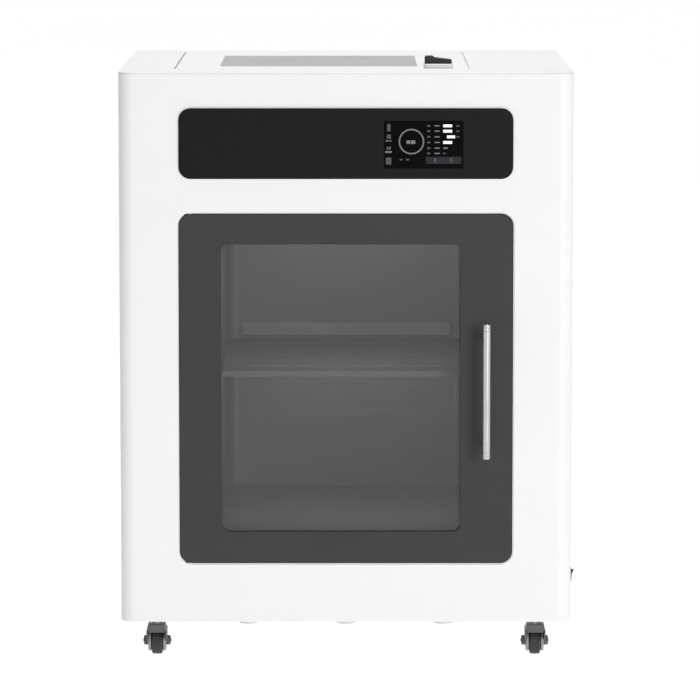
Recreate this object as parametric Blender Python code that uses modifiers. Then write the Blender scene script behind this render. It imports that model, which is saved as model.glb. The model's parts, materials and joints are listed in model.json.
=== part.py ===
"""Floor-standing filament drying cabinet: sheet-metal body on four swivel casters, glazed inset
door, hinged top lid with a turn latch, one shelf, and a heater, fan and vent at the back.

Run with: blender --background --python part.py
Lengths are in metres, +Z is up, +X is the right-hand side seen from the front, and the door
faces -Y. The origin is on the floor under the middle of the object.

Most places are given as cabinet coordinates: x from the middle, depth behind the front face,
and height above the underside of the body. cabinet() turns them into world coordinates.
"""

import math

import bmesh
import bpy
from mathutils import Matrix, Vector

# ---- driving dimensions -------------------------------------------------------------------

BODY_WIDTH = 0.730
BODY_DEPTH = 0.672
BODY_HEIGHT = 0.890
FLOOR_CLEARANCE = 0.0625
HANDLE_REACH = 0.0402
VENT_REACH = 0.0127
CORNER_RADIUS = 0.024

SHEET = 0.0015
GAP = 0.0004

DOOR_HALF_WIDTH = 0.268
DOOR_LOW = 0.097
DOOR_HIGH = 0.663
DOOR_RADIUS = 0.019
DOOR_GAP = 0.003
DOOR_WALL = 0.0025
DOOR_DEPTH = 0.022
DOOR_PIVOT_INSET = 0.018
DOOR_PIVOT_DEPTH = 0.005
DOOR_PIN_RADIUS = 0.0024

WINDOW_LEFT = -0.2004
WINDOW_RIGHT = 0.1847
WINDOW_LOW = 0.1476
WINDOW_HIGH = 0.6141
WINDOW_RADIUS = 0.012

LANDING_DEPTH = 0.0325
CHAMBER_HALF_WIDTH = 0.204
CHAMBER_FLOOR = 0.147
CHAMBER_CEILING = 0.655
CHAMBER_BACK = 0.514
CHAMBER_RADIUS = 0.020
OPENING_HIGH = 0.640
WELL_RIGHT = 0.180
WELL_FRONT = 0.118
WELL_RIM = 0.8635

FASCIA_HALF_WIDTH = 0.268
FASCIA_LOW = 0.7195
FASCIA_HIGH = 0.8329
FASCIA_RADIUS = 0.019
FASCIA_FACE = -0.0022

SCREEN_LEFT = 0.061
SCREEN_RIGHT = 0.1875
SCREEN_LOW = 0.737
SCREEN_HIGH = 0.8125
BOARD_STUD_XS = (-0.150, 0.010)
BOARD_STUD_HEIGHTS = (0.745, 0.807)

LID_LEFT = -0.275
LID_RIGHT = 0.197
LID_FRONT = 0.105
LID_BACK = 0.625
LID_GAP = 0.004
LID_DEPTH = 0.016
LID_LANDING = 0.866
LID_PIVOT_INSET = 0.010
LID_PIVOT_DROP = 0.008
LID_WINDOW_LEFT = -0.206
LID_WINDOW_RIGHT = 0.116
LID_WINDOW_FRONT = 0.175
LID_WINDOW_BACK = 0.500

LATCH_X = 0.150
LATCH_DEPTH = 0.135

SHELF_TOP = 0.403
SHELF_FRONT = 0.052
SHELF_HALF_WIDTH = 0.2015

HANDLE_X = 0.2254
HANDLE_RADIUS = 0.0062
HANDLE_LOW = 0.271
HANDLE_HIGH = 0.489

FAN_HEIGHT = 0.775
FAN_HALF = 0.060
VENT_HEIGHT = 0.775

SWITCH_DEPTH = 0.040
SWITCH_HEIGHT = 0.072

INLET_X = 0.250
INLET_HEIGHT = 0.110

CASTER_X = 0.308
CASTER_DEPTHS = (0.036, 0.614)
CASTER_TRAIL = 0.020
WHEEL_RADIUS = 0.0225
AXLE_DROP = FLOOR_CLEARANCE - WHEEL_RADIUS

SCREW_X = 0.352
SCREW_HEIGHTS = (0.045, 0.245, 0.445, 0.645, 0.845)

# The front face sits where the bounding box, handle and vent knob included, is centred on Y.
FRONT_Y = (HANDLE_REACH - BODY_DEPTH - VENT_REACH) / 2

# ---- materials: colour, roughness, metallic -----------------------------------------------

MATERIAL_LOOKS = {
    "white_enamel": ((0.90, 0.90, 0.90), 0.45, 0.0),
    "galvanised_sheet": ((0.62, 0.64, 0.66), 0.40, 0.9),
    "chamber_steel": ((0.46, 0.47, 0.48), 0.38, 0.7),
    "graphite_enamel": ((0.055, 0.055, 0.057), 0.35, 0.0),
    "black_glass": ((0.012, 0.012, 0.014), 0.10, 0.0),
    "screen_black": ((0.006, 0.006, 0.008), 0.06, 0.0),
    "tinted_glass": ((0.13, 0.13, 0.14), 0.05, 0.0),
    "smoked_acrylic": ((0.50, 0.51, 0.52), 0.12, 0.0),
    "brushed_aluminium": ((0.72, 0.73, 0.74), 0.28, 1.0),
    "zinc_steel": ((0.55, 0.56, 0.58), 0.32, 1.0),
    "black_rubber": ((0.020, 0.020, 0.020), 0.75, 0.0),
    "grey_rubber": ((0.42, 0.42, 0.42), 0.70, 0.0),
    "black_plastic": ((0.020, 0.020, 0.022), 0.45, 0.0),
    "light_plastic": ((0.66, 0.66, 0.66), 0.40, 0.0),
    "mineral_wool": ((0.60, 0.55, 0.40), 0.95, 0.0),
    "board_green": ((0.020, 0.120, 0.060), 0.45, 0.0),
    "heater_alloy": ((0.50, 0.50, 0.52), 0.50, 0.9),
    "lamp_diffuser": ((0.92, 0.93, 0.95), 0.50, 0.0),
}

# Local axes of a plate: the outline's two directions, then the direction of its thickness.
PLATE_FRAMES = {
    "front": Matrix(((1, 0, 0), (0, 0, -1), (0, 1, 0))),
    "top": Matrix.Identity(3),
    "side": Matrix(((0, 0, 1), (1, 0, 0), (0, 1, 0))),
}


def start_collections():
    """Empty the file and return the collections for the parts and for the cutting shapes."""
    for item in list(bpy.data.objects):
        bpy.data.objects.remove(item, do_unlink=True)
    parts = bpy.data.collections.new("filament_drying_cabinet")
    tools = bpy.data.collections.new("cutters")
    for collection in (parts, tools):
        bpy.context.scene.collection.children.link(collection)
    return parts, tools


PARTS, CUTTERS = start_collections()


def cabinet(x, depth, height):
    """World place of a point given in cabinet coordinates."""
    return Vector((x, FRONT_Y + depth, FLOOR_CLEARANCE + height))


def material(name):
    """The named Principled material, made on first use."""
    found = bpy.data.materials.get(name)
    if found:
        return found
    colour, roughness, metallic = MATERIAL_LOOKS[name]
    made = bpy.data.materials.new(name)
    made.use_nodes = True
    shader = made.node_tree.nodes["Principled BSDF"]
    shader.inputs["Base Color"].default_value = (*colour, 1.0)
    shader.inputs["Roughness"].default_value = roughness
    shader.inputs["Metallic"].default_value = metallic
    made.diffuse_color = (*colour, 1.0)
    return made


def link(name, mesh, place, look):
    """A part object with its material, or a hidden tool when the look is None."""
    made = bpy.data.objects.new(name, mesh)
    made.location = place
    if look is None:
        CUTTERS.objects.link(made)
        made.hide_render = True
        made.display_type = "WIRE"
    else:
        PARTS.objects.link(made)
        if not mesh.materials:
            mesh.materials.append(material(look))
    return made


def soften(thing, angle_degrees=35):
    """Smooth shading with sharp edges kept at the corners."""
    thing.data.shade_smooth()
    thing.data.set_sharp_from_angle(angle=math.radians(angle_degrees))
    return thing


def bevel(thing, width, segments=2):
    """Round the piece's sharp edges."""
    modifier = thing.modifiers.new("edge_bevel", "BEVEL")
    modifier.width = width
    modifier.segments = segments
    modifier.limit_method = "ANGLE"
    modifier.angle_limit = math.radians(40)
    return thing


# ---- shapes -------------------------------------------------------------------------------


def box(name, x, depth, height, look=None):
    """A box from its ranges in cabinet coordinates."""
    low = cabinet(x[0], depth[0], height[0])
    high = cabinet(x[1], depth[1], height[1])
    size = high - low
    shape = bmesh.new()
    bmesh.ops.create_cube(shape, size=1.0, matrix=Matrix.Diagonal((*size, 1.0)))
    mesh = bpy.data.meshes.new(name)
    shape.to_mesh(mesh)
    shape.free()
    return link(name, mesh, (low + high) / 2, look)


def rod(name, start, end, radius, look=None, segments=16):
    """A cylinder between two points in cabinet coordinates."""
    start, end = cabinet(*start), cabinet(*end)
    along = end - start
    shape = bmesh.new()
    bmesh.ops.create_cone(
        shape, cap_ends=True, segments=segments, radius1=radius, radius2=radius, depth=along.length
    )
    mesh = bpy.data.meshes.new(name)
    shape.to_mesh(mesh)
    shape.free()
    made = link(name, mesh, (start + end) / 2, look)
    made.rotation_euler = along.to_track_quat("Z", "Y").to_euler()
    return soften(made)


def plate(name, outlines, span, facing, look=None):
    """A flat piece: closed outlines filled and extruded over the span along its thickness.

    Facing front takes (x, height) points and a depth span, top takes (x, depth) points and a
    height span, and side takes (depth, height) points and an x span.
    """
    curve = bpy.data.curves.new(name, "CURVE")
    curve.dimensions = "2D"
    curve.fill_mode = "BOTH"
    curve.extrude = abs(span[1] - span[0]) / 2
    for outline in outlines:
        spline = curve.splines.new("POLY")
        spline.points.add(len(outline) - 1)
        for point, (u, v) in zip(spline.points, outline):
            point.co = (u, v, 0.0, 1.0)
        spline.use_cyclic_u = True
    drawn = bpy.data.objects.new(name + "_outline", curve)
    CUTTERS.objects.link(drawn)
    graph = bpy.context.evaluated_depsgraph_get()
    mesh = bpy.data.meshes.new_from_object(drawn.evaluated_get(graph))
    bpy.data.objects.remove(drawn, do_unlink=True)
    shape = bmesh.new()
    shape.from_mesh(mesh)
    bmesh.ops.remove_doubles(shape, verts=shape.verts, dist=0.00001)
    bmesh.ops.recalc_face_normals(shape, faces=shape.faces)
    shape.to_mesh(mesh)
    shape.free()
    middle = (span[0] + span[1]) / 2
    place = {"front": (0, middle, 0), "top": (0, 0, middle), "side": (middle, 0, 0)}[facing]
    made = link(name, mesh, cabinet(*place), look)
    made.rotation_euler = PLATE_FRAMES[facing].to_euler()
    return soften(made)


def turned(name, profile, place, axis, look=None, segments=24, closed=False):
    """A round piece: (radius, along) points swept about an axis through a cabinet point."""
    mesh = bpy.data.meshes.new(name)
    count = len(profile)
    edges = [(i, i + 1) for i in range(count - 1)]
    if closed:
        edges.append((count - 1, 0))
    mesh.from_pydata([(radius, 0.0, along) for radius, along in profile], edges, [])
    made = link(name, mesh, cabinet(*place), look)
    made.rotation_euler = Vector(axis).to_track_quat("Z", "Y").to_euler()
    add_screw(made, segments)
    return made


def add_screw(thing, segments):
    """Sweep a profile mesh one full turn about its own Z axis."""
    sweep = thing.modifiers.new("turn", "SCREW")
    sweep.steps = segments
    sweep.render_steps = segments
    sweep.use_merge_vertices = True
    sweep.merge_threshold = 0.00005
    sweep.use_smooth_shade = True


def arc(centre, radius, start, end, steps):
    """Points on a circle, with the angles in degrees."""
    points = []
    for i in range(steps + 1):
        angle = math.radians(start + (end - start) * i / steps)
        points.append((centre[0] + radius * math.cos(angle), centre[1] + radius * math.sin(angle)))
    return points


def round_rectangle(left, right, low, high, radius, steps=4):
    """Outline of a rectangle with round corners; radius is one value or one for low, high."""
    low_radius, high_radius = radius if isinstance(radius, tuple) else (radius, radius)
    corners = (
        (right - low_radius, low + low_radius, low_radius, -90),
        (right - high_radius, high - high_radius, high_radius, 0),
        (left + high_radius, high - high_radius, high_radius, 90),
        (left + low_radius, low + low_radius, low_radius, 180),
    )
    points = []
    for u, v, size, start in corners:
        points += arc((u, v), size, start, start + 90, steps)
    return points


def grown(rectangle, margin, steps=4):
    """The outline of (left, right, low, high, radius) grown outward by a margin."""
    left, right, low, high, radius = rectangle
    return round_rectangle(
        left - margin, right + margin, low - margin, high + margin, radius + margin, steps
    )


def folded_sheet(path, thickness=SHEET):
    """Closed outline of a folded sheet: its outer face is the path, and it thickens to the left."""
    directions = [(Vector(b) - Vector(a)).normalized() for a, b in zip(path, path[1:])]
    normals = [Vector((-d.y, d.x)) for d in directions]
    inner = []
    for i, point in enumerate(path):
        before = normals[max(i - 1, 0)]
        after = normals[min(i, len(normals) - 1)]
        offset = (before + after) / (1 + before.dot(after)) * thickness
        inner.append(tuple(Vector(point) + offset))
    return list(path) + inner[::-1]


# ---- combining ----------------------------------------------------------------------------


def combine(thing, tool, operation):
    """Add one Boolean modifier to a part."""
    modifier = thing.modifiers.new(operation.lower(), "BOOLEAN")
    modifier.operation = operation
    modifier.solver = "EXACT"
    modifier.object = tool
    return thing


def fuse(thing, *tools):
    """Join shapes to a part."""
    for tool in tools:
        combine(thing, tool, "UNION")
    return thing


def cut(thing, *tools):
    """Cut shapes away from a part."""
    for tool in tools:
        combine(thing, tool, "DIFFERENCE")
    return thing


def evaluated_mesh(thing):
    """The finished mesh of an object, in its own axes."""
    bpy.context.view_layer.update()
    graph = bpy.context.evaluated_depsgraph_get()
    return bpy.data.meshes.new_from_object(thing.evaluated_get(graph))


def gathered(name, pieces):
    """One tool made of several separate shapes, such as a row of slots."""
    bpy.context.view_layer.update()
    shape = bmesh.new()
    for piece in pieces:
        mesh = evaluated_mesh(piece)
        mesh.transform(piece.matrix_world)
        shape.from_mesh(mesh)
        bpy.data.meshes.remove(mesh)
    for piece in pieces:
        bpy.data.objects.remove(piece, do_unlink=True)
    mesh = bpy.data.meshes.new(name)
    shape.to_mesh(mesh)
    shape.free()
    return link(name, mesh, (0, 0, 0), None)


def pivot(name, place, pieces):
    """An empty on a joint's axis that carries the pieces which move about it."""
    empty = bpy.data.objects.new(name, None)
    empty.empty_display_size = 0.03
    empty.location = cabinet(*place)
    PARTS.objects.link(empty)
    bpy.context.view_layer.update()
    for piece in pieces:
        piece.parent = empty
        piece.matrix_parent_inverse = empty.matrix_world.inverted()
    return empty


# ---- outer casing -------------------------------------------------------------------------

HALF_WIDTH = BODY_WIDTH / 2
WRAP_END = 0.030
CASING_TOP = BODY_HEIGHT - 0.0023
DOOR_RECTANGLE = (-DOOR_HALF_WIDTH, DOOR_HALF_WIDTH, DOOR_LOW, DOOR_HIGH, DOOR_RADIUS)
WINDOW_RECTANGLE = (WINDOW_LEFT, WINDOW_RIGHT, WINDOW_LOW, WINDOW_HIGH, WINDOW_RADIUS)
LID_RECTANGLE = (LID_LEFT, LID_RIGHT, LID_FRONT, LID_BACK, 0.004)
SCREEN_RECTANGLE = (SCREEN_LEFT, SCREEN_RIGHT, SCREEN_LOW, SCREEN_HIGH, 0.002)
DOOR_PIVOT_X = -DOOR_HALF_WIDTH + DOOR_PIVOT_INSET
LID_PIVOT_X = LID_LEFT + LID_PIVOT_INSET
LID_PIVOT_HEIGHT = BODY_HEIGHT - LID_PIVOT_DROP


def make_front_panel():
    """Front sheet wrapped round both corners, with the door recess pressed into it."""
    bend = HALF_WIDTH - CORNER_RADIUS
    path = [(-HALF_WIDTH + 0.020, WRAP_END), (-HALF_WIDTH, WRAP_END)]
    path += arc((-bend, CORNER_RADIUS), CORNER_RADIUS, 180, 270, 6)
    path += arc((bend, CORNER_RADIUS), CORNER_RADIUS, 270, 360, 6)
    path += [(HALF_WIDTH, WRAP_END), (HALF_WIDTH - 0.020, WRAP_END)]
    panel = plate("front_panel", [folded_sheet(path)], (0.0, CASING_TOP), "top", "white_enamel")
    recess = grown(DOOR_RECTANGLE, DOOR_GAP)
    landing = round_rectangle(
        -CHAMBER_HALF_WIDTH, CHAMBER_HALF_WIDTH, CHAMBER_FLOOR, OPENING_HIGH, 0.006, 2
    )
    fascia_hole = round_rectangle(-0.262, 0.262, 0.7255, 0.827, 0.014)
    fuse(
        panel,
        plate(
            "recess_block",
            [grown(DOOR_RECTANGLE, DOOR_GAP + SHEET)],
            (0.0007, LANDING_DEPTH + SHEET),
            "front",
        ),
    )
    cut(
        panel,
        plate("recess_cut", [recess], (-0.010, LANDING_DEPTH), "front"),
        plate("landing_cut", [landing], (0.020, 0.050), "front"),
        plate("fascia_cut", [fascia_hole], (-0.010, 0.010), "front"),
    )
    for low, high in ((DOOR_HIGH - 0.002, DOOR_HIGH + 0.010), (DOOR_LOW - 0.010, DOOR_LOW + 0.002)):
        start = (DOOR_PIVOT_X, DOOR_PIVOT_DEPTH, low)
        end = (DOOR_PIVOT_X, DOOR_PIVOT_DEPTH, high)
        cut(panel, rod("door_pin_hole", start, end, DOOR_PIN_RADIUS + 0.0007, segments=12))
    return panel


def make_side_panels():
    """Two folded side sheets with a lip behind the front panel and one at the back."""
    right_path = [
        (HALF_WIDTH - 0.020, WRAP_END + GAP),
        (HALF_WIDTH, WRAP_END + GAP),
        (HALF_WIDTH, BODY_DEPTH - 0.002),
        (HALF_WIDTH - 0.025, BODY_DEPTH - 0.002),
    ]
    left_path = [(-x, depth) for x, depth in right_path[::-1]]
    panels = []
    for name, path, side in (
        ("side_panel_left", left_path, -1),
        ("side_panel_right", right_path, 1),
    ):
        panel = plate(name, [folded_sheet(path)], (0.0, CASING_TOP), "top", "white_enamel")
        for height in SCREW_HEIGHTS:
            start = (side * SCREW_X, BODY_DEPTH - 0.010, height)
            end = (side * SCREW_X, BODY_DEPTH + 0.002, height)
            cut(panel, rod("screw_hole", start, end, 0.0026, segments=8))
        panels.append(panel)
    cutout = box(
        "switch_cut",
        (HALF_WIDTH - 0.010, HALF_WIDTH + 0.010),
        (SWITCH_DEPTH - 0.0064, SWITCH_DEPTH + 0.0064),
        (SWITCH_HEIGHT - 0.0095, SWITCH_HEIGHT + 0.0095),
    )
    cut(panels[1], cutout)
    return panels


def make_rear_panel():
    """Flat back sheet with holes for its screws, the vent and the mains inlet."""
    outline = round_rectangle(-0.361, 0.361, 0.004, 0.884, 0.004, 2)
    span = (BODY_DEPTH - 0.0016, BODY_DEPTH - 0.0001)
    panel = plate("rear_panel", [outline], span, "front", "white_enamel")
    behind, ahead = BODY_DEPTH + 0.010, BODY_DEPTH - 0.010
    for side in (-1, 1):
        for height in SCREW_HEIGHTS:
            start, end = (side * SCREW_X, ahead, height), (side * SCREW_X, behind, height)
            cut(panel, rod("screw_hole", start, end, 0.0026, segments=8))
    cut(
        panel,
        rod("vent_hole", (0, ahead, VENT_HEIGHT), (0, behind, VENT_HEIGHT), 0.0268),
        box(
            "inlet_cut",
            (INLET_X - 0.0139, INLET_X + 0.0139),
            (ahead, behind),
            (INLET_HEIGHT - 0.0104, INLET_HEIGHT + 0.0104),
        ),
    )
    return panel


def make_top_panel():
    """Top sheet with the lid's recess and the opening over the chamber."""
    outline = round_rectangle(
        -HALF_WIDTH, HALF_WIDTH, 0.0, BODY_DEPTH, (CORNER_RADIUS, 0.003), 6
    )
    panel = plate(
        "top_panel", [outline], (BODY_HEIGHT - 0.002, BODY_HEIGHT), "top", "white_enamel"
    )
    well = round_rectangle(
        -CHAMBER_HALF_WIDTH, WELL_RIGHT, WELL_FRONT, CHAMBER_BACK, 0.012, 3
    )
    block_span = (LID_LANDING - SHEET, BODY_HEIGHT - 0.001)
    fuse(
        panel,
        plate("lid_block", [grown(LID_RECTANGLE, LID_GAP + SHEET)], block_span, "top"),
        box("front_lip", (-0.340, 0.340), (0.0021, 0.0036), (0.870, BODY_HEIGHT - 0.001)),
        box("back_lip", (-0.335, 0.335), (0.6655, 0.667), (0.870, BODY_HEIGHT - 0.001)),
    )
    cut(
        panel,
        plate("lid_cut", [grown(LID_RECTANGLE, LID_GAP)], (LID_LANDING, 0.900), "top"),
        plate("well_cut", [well], (0.850, 0.880), "top"),
    )
    cut(panel, rod("lid_pin_hole", *lid_pin_ends(0.0005), 0.0036, segments=12))
    return panel


def pan_outline(margin):
    """Plan of the pan, notched round the casing's corner lips and shrunk by a margin."""
    half = HALF_WIDTH - 0.002 - margin
    notch = HALF_WIDTH - 0.0205 - margin
    radius = CORNER_RADIUS - 0.002 - margin
    right = arc((half - radius, CORNER_RADIUS), radius, 270, 360, 4)
    right += [(half, 0.0280 - margin), (notch, 0.0280 - margin)]
    right += [(notch, 0.0325 + margin), (half, 0.0335 + margin), (half, 0.6680 - margin)]
    return right + [(-x, depth) for x, depth in right[::-1]]


def make_base_pan():
    """Bottom tray with an upturned rim, and holes for the casters' bolts."""
    pan = plate("base_pan", [pan_outline(0.0003)], (0.0, 0.0025), "top", "galvanised_sheet")
    holes = []
    for x, depth in caster_places():
        for across, back in BOLT_OFFSETS:
            start = (x + across, depth + back, -0.010)
            end = (x + across, depth + back, 0.010)
            holes.append(rod("bolt_hole", start, end, 0.0034, segments=8))
    cut(pan, gathered("bolt_holes", holes))
    rim = [pan_outline(0.0), pan_outline(0.0018)]
    return fuse(pan, plate("pan_rim", rim, (0.0006, 0.030), "top"))


# ---- chamber ------------------------------------------------------------------------------


def rear_rounded_box(name, x, depth, height, look=None):
    """A box whose two upright rear edges are round."""
    outline = round_rectangle(x[0], x[1], depth[0], depth[1], (0.0, CHAMBER_RADIUS), 4)
    clean = [point for i, point in enumerate(outline) if point != outline[i - 1]]
    return plate(name, [clean], height, "top", look)


def make_chamber_liner():
    """Inner tub, open at the door and up the well to the lid, with air slots."""
    wide, wall = CHAMBER_HALF_WIDTH, SHEET
    face = LANDING_DEPTH + SHEET + GAP
    liner = rear_rounded_box(
        "chamber_liner",
        (-wide - wall, wide + wall),
        (face, CHAMBER_BACK + wall),
        (CHAMBER_FLOOR - wall, CHAMBER_CEILING + wall),
        "chamber_steel",
    )
    flange = (-wide - 0.020, wide + 0.020, CHAMBER_FLOOR - 0.018, CHAMBER_CEILING + 0.016, 0.004)
    fuse(
        liner,
        rear_rounded_box(
            "well_block",
            (-wide - wall, WELL_RIGHT + wall),
            (WELL_FRONT - wall, CHAMBER_BACK + wall + 0.00002),
            (CHAMBER_CEILING - 0.010, WELL_RIM),
        ),
        plate("flange_block", [grown(flange, 0.0, 2)], (face - 0.00002, face + wall), "front"),
    )
    cut(
        liner,
        rear_rounded_box(
            "chamber_cut", (-wide, wide), (0.020, CHAMBER_BACK), (CHAMBER_FLOOR, CHAMBER_CEILING)
        ),
        rear_rounded_box(
            "well_cut_liner", (-wide, WELL_RIGHT), (WELL_FRONT, CHAMBER_BACK + 0.00002), (0.600, 0.890)
        ),
        box("latch_notch", (0.170, 0.200), (0.116, 0.174), (0.852, 0.880)),
    )
    slots = []
    for i in range(3):
        left = -0.110 + 0.075 * i
        slots.append(box("supply_slot", (left, left + 0.070), (0.478, 0.488), (0.140, 0.150)))
    for i in range(6):
        low = FAN_HEIGHT - 0.0465 + 0.016 * i
        reach = math.sqrt(0.054**2 - (low + 0.0045 - FAN_HEIGHT) ** 2)
        slots.append(box("return_slot", (-reach, reach), (0.505, 0.520), (low, low + 0.009)))
    cut(liner, gathered("air_slots", slots))
    return liner


def make_insulation():
    """Mineral-wool jacket round the tub's sides and floor."""
    outer, inner, top, bottom = 0.246, 0.2064, 0.640, 0.104
    under = CHAMBER_FLOOR - 0.0024
    outline = [
        (-outer, bottom),
        (outer, bottom),
        (outer, top),
        (inner, top),
        (inner, under),
        (-inner, under),
        (-inner, top),
        (-outer, top),
    ]
    return plate("insulation", [outline], (0.060, 0.462), "front", "mineral_wool")


def make_air_duct():
    """Duct behind the tub: a hood round the fan, a flat shaft, and a foot under the floor."""
    skin = SHEET
    outer = [
        (0.466, 0.098),
        (0.556, 0.098),
        (0.556, 0.690),
        (0.596, 0.715),
        (0.596, 0.852),
        (0.5161, 0.852),
        (0.5161, 0.1449),
        (0.466, 0.1449),
    ]
    inner = [
        (0.466 + skin, 0.098 + skin),
        (0.556 - skin, 0.098 + skin),
        (0.556 - skin, 0.690 + skin),
        (0.596 - skin, 0.715 + skin),
        (0.596 - skin, 0.852 - skin),
        (0.500, 0.852 - skin),
        (0.500, 0.704),
        (0.5161 + skin, 0.704),
        (0.5161 + skin, 0.1420),
        (0.5120, 0.1420),
        (0.5120, 0.1600),
        (0.466 + skin, 0.1600),
    ]
    duct = plate("air_duct", [outer], (-0.120, 0.120), "side", "galvanised_sheet")
    cut(
        duct,
        plate("duct_hollow", [inner], (-0.120 + skin, 0.120 - skin), "side"),
        rod("duct_vent_hole", (0, 0.580, VENT_HEIGHT), (0, 0.610, VENT_HEIGHT), 0.0268),
    )
    return duct


def make_fan():
    """Axial fan: square frame with a motor bridge, and the rotor that turns in it."""
    depth = (0.5172, 0.5422)
    square = round_rectangle(
        -FAN_HALF, FAN_HALF, FAN_HEIGHT - FAN_HALF, FAN_HEIGHT + FAN_HALF, 0.006, 2
    )
    bore = arc((0.0, FAN_HEIGHT), 0.0565, 0, 345, 23)
    frame = plate("circulation_fan_frame", [square, bore], depth, "front", "black_plastic")
    bridge = (0.5397, 0.5419)
    fuse(
        frame,
        box("bridge_flat", (-0.0575, 0.0575), bridge, (FAN_HEIGHT - 0.004, FAN_HEIGHT + 0.004)),
        box("bridge_upright", (-0.004, 0.004), bridge, (FAN_HEIGHT - 0.0575, FAN_HEIGHT + 0.0575)),
        rod("motor_seat", (0, 0.5394, FAN_HEIGHT), (0, 0.5416, FAN_HEIGHT), 0.019, segments=16),
    )
    hub = rod(
        "circulation_fan_rotor",
        (0, 0.5185, FAN_HEIGHT),
        (0, 0.5385, FAN_HEIGHT),
        0.019,
        "black_plastic",
        20,
    )
    blades = []
    for i in range(7):
        blade = box(
            "blade", (0.0160, 0.0540), (0.5275, 0.5290), (FAN_HEIGHT - 0.012, FAN_HEIGHT + 0.012)
        )
        centre = cabinet(0, 0.5283, FAN_HEIGHT)
        turn = Matrix.Rotation(math.tau * i / 7, 4, "Y")
        pitch = Matrix.Rotation(math.radians(28), 4, "X")
        blade.matrix_world = (
            Matrix.Translation(centre) @ turn @ Matrix.Translation((0.035, 0, 0)) @ pitch
        )
        blades.append(blade)
    fuse(hub, gathered("blades", blades))
    return frame, hub


def make_heater():
    """Finned heater block that the duct's air passes down through."""
    block = box("ptc_heater", (-0.105, 0.105), (0.520, 0.552), (0.628, 0.682), "heater_alloy")
    passages = []
    for i in range(8):
        left = -0.0965 + 0.0245 * i
        passages.append(box("passage", (left, left + 0.0215), (0.524, 0.548), (0.620, 0.690)))
    cut(block, gathered("heater_passages", passages))
    return block


def make_vent():
    """Exhaust collar through the back with a turning shutter on its face."""
    face = BODY_DEPTH + 0.0003
    collar = turned(
        "vent_collar",
        [
            (0.0, 0.0035),
            (0.036, 0.0035),
            (0.038, 0.0020),
            (0.038, 0.0),
            (0.0262, 0.0),
            (0.0262, -0.080),
            (0.0240, -0.080),
            (0.0240, 0.0),
            (0.0, 0.0),
        ],
        (0, face, VENT_HEIGHT),
        (0, 1, 0),
        "light_plastic",
        24,
    )
    ports = [sector("port", i, face - 0.002, face + 0.006) for i in range(3)]
    cut(collar, gathered("collar_ports", ports))
    cut(collar, rod("stud_hole", (0, face - 0.01, VENT_HEIGHT), (0, face + 0.01, VENT_HEIGHT), 0.0030))
    disc = turned(
        "vent_disc",
        [
            (0.0, 0.0085),
            (0.0060, 0.0085),
            (0.0070, 0.0075),
            (0.0080, 0.0026),
            (0.0300, 0.0026),
            (0.0310, 0.0016),
            (0.0310, 0.0),
            (0.0024, 0.0),
            (0.0024, -0.0060),
            (0.0, -0.0060),
        ],
        (0, face + 0.0039, VENT_HEIGHT),
        (0, 1, 0),
        "light_plastic",
        24,
    )
    ports = [sector("port", i + 0.5, face + 0.001, face + 0.010) for i in range(3)]
    cut(disc, gathered("disc_ports", ports))
    pivot("vent_axis", (0, face, VENT_HEIGHT), [disc])
    return collar, disc


def sector(name, turn, near, far):
    """A wedge-shaped port, one of three round the vent's centre."""
    start = 120 * turn + 4
    ends = (start, start + 52)
    points = arc((0.0, VENT_HEIGHT), 0.0215, ends[0], ends[1], 4)
    points += arc((0.0, VENT_HEIGHT), 0.0100, ends[1], ends[0], 2)
    return plate(name, [points], (near, far), "front")


def make_shelf():
    """Folded steel shelf with a front lip, a raised back stop and rows of air slots."""
    half, back = SHELF_HALF_WIDTH, CHAMBER_BACK - 0.002
    shelf = plate(
        "shelf",
        [round_rectangle(-half, half, SHELF_FRONT, back, (0.002, CHAMBER_RADIUS), 4)],
        (SHELF_TOP - SHEET, SHELF_TOP),
        "top",
        "chamber_steel",
    )
    lips = [
        box(
            "front_lip",
            (-half + 0.002, half - 0.002),
            (SHELF_FRONT, SHELF_FRONT + SHEET),
            (SHELF_TOP - 0.009, SHELF_TOP - 0.0004),
        ),
        box(
            "back_stop",
            (-half + CHAMBER_RADIUS, half - CHAMBER_RADIUS),
            (back - SHEET, back - 0.00005),
            (SHELF_TOP - 0.0004, SHELF_TOP + 0.028),
        ),
    ]
    fuse(shelf, *lips)
    slots = []
    for row in range(5):
        for column in range(4):
            left = -0.160 + 0.084 * column
            front = 0.120 + 0.080 * row
            slots.append(
                box("slot", (left, left + 0.068), (front, front + 0.006), (0.398, 0.410))
            )
    cut(shelf, gathered("shelf_slots", slots))
    pivot("shelf_rest", (0, CHAMBER_BACK / 2, SHELF_TOP), [shelf])
    return shelf


def make_shelf_rails():
    """Two angle rails on the tub's side walls, under the shelf."""
    wall = CHAMBER_HALF_WIDTH - GAP
    top = SHELF_TOP - SHEET - 0.0003
    section = folded_sheet([(wall, top - 0.014), (wall, top), (wall - 0.013, top)])
    mirrored = [(-x, height) for x, height in section]
    span = (0.072, 0.480)
    plate("shelf_rail_right", [section], span, "front", "chamber_steel")
    plate("shelf_rail_left", [mirrored], span, "front", "chamber_steel")


def make_chamber_fittings():
    """Lamp under the chamber's ceiling, and the humidity sensor on the back wall."""
    lamp = box(
        "chamber_lamp", (-0.150, 0.150), (0.060, 0.072), (0.6476, 0.6546), "lamp_diffuser"
    )
    bevel(lamp, 0.0012)
    case = box(
        "humidity_sensor", (0.108, 0.148), (0.5040, 0.5136), (0.586, 0.624), "light_plastic"
    )
    bevel(case, 0.002)
    slots = [
        box("louvre", (0.115, 0.141), (0.5000, 0.5080), (low, low + 0.0025))
        for low in (0.594, 0.600, 0.606, 0.612)
    ]
    cut(case, gathered("sensor_louvres", slots))


# ---- fascia and electrics -----------------------------------------------------------------


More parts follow.
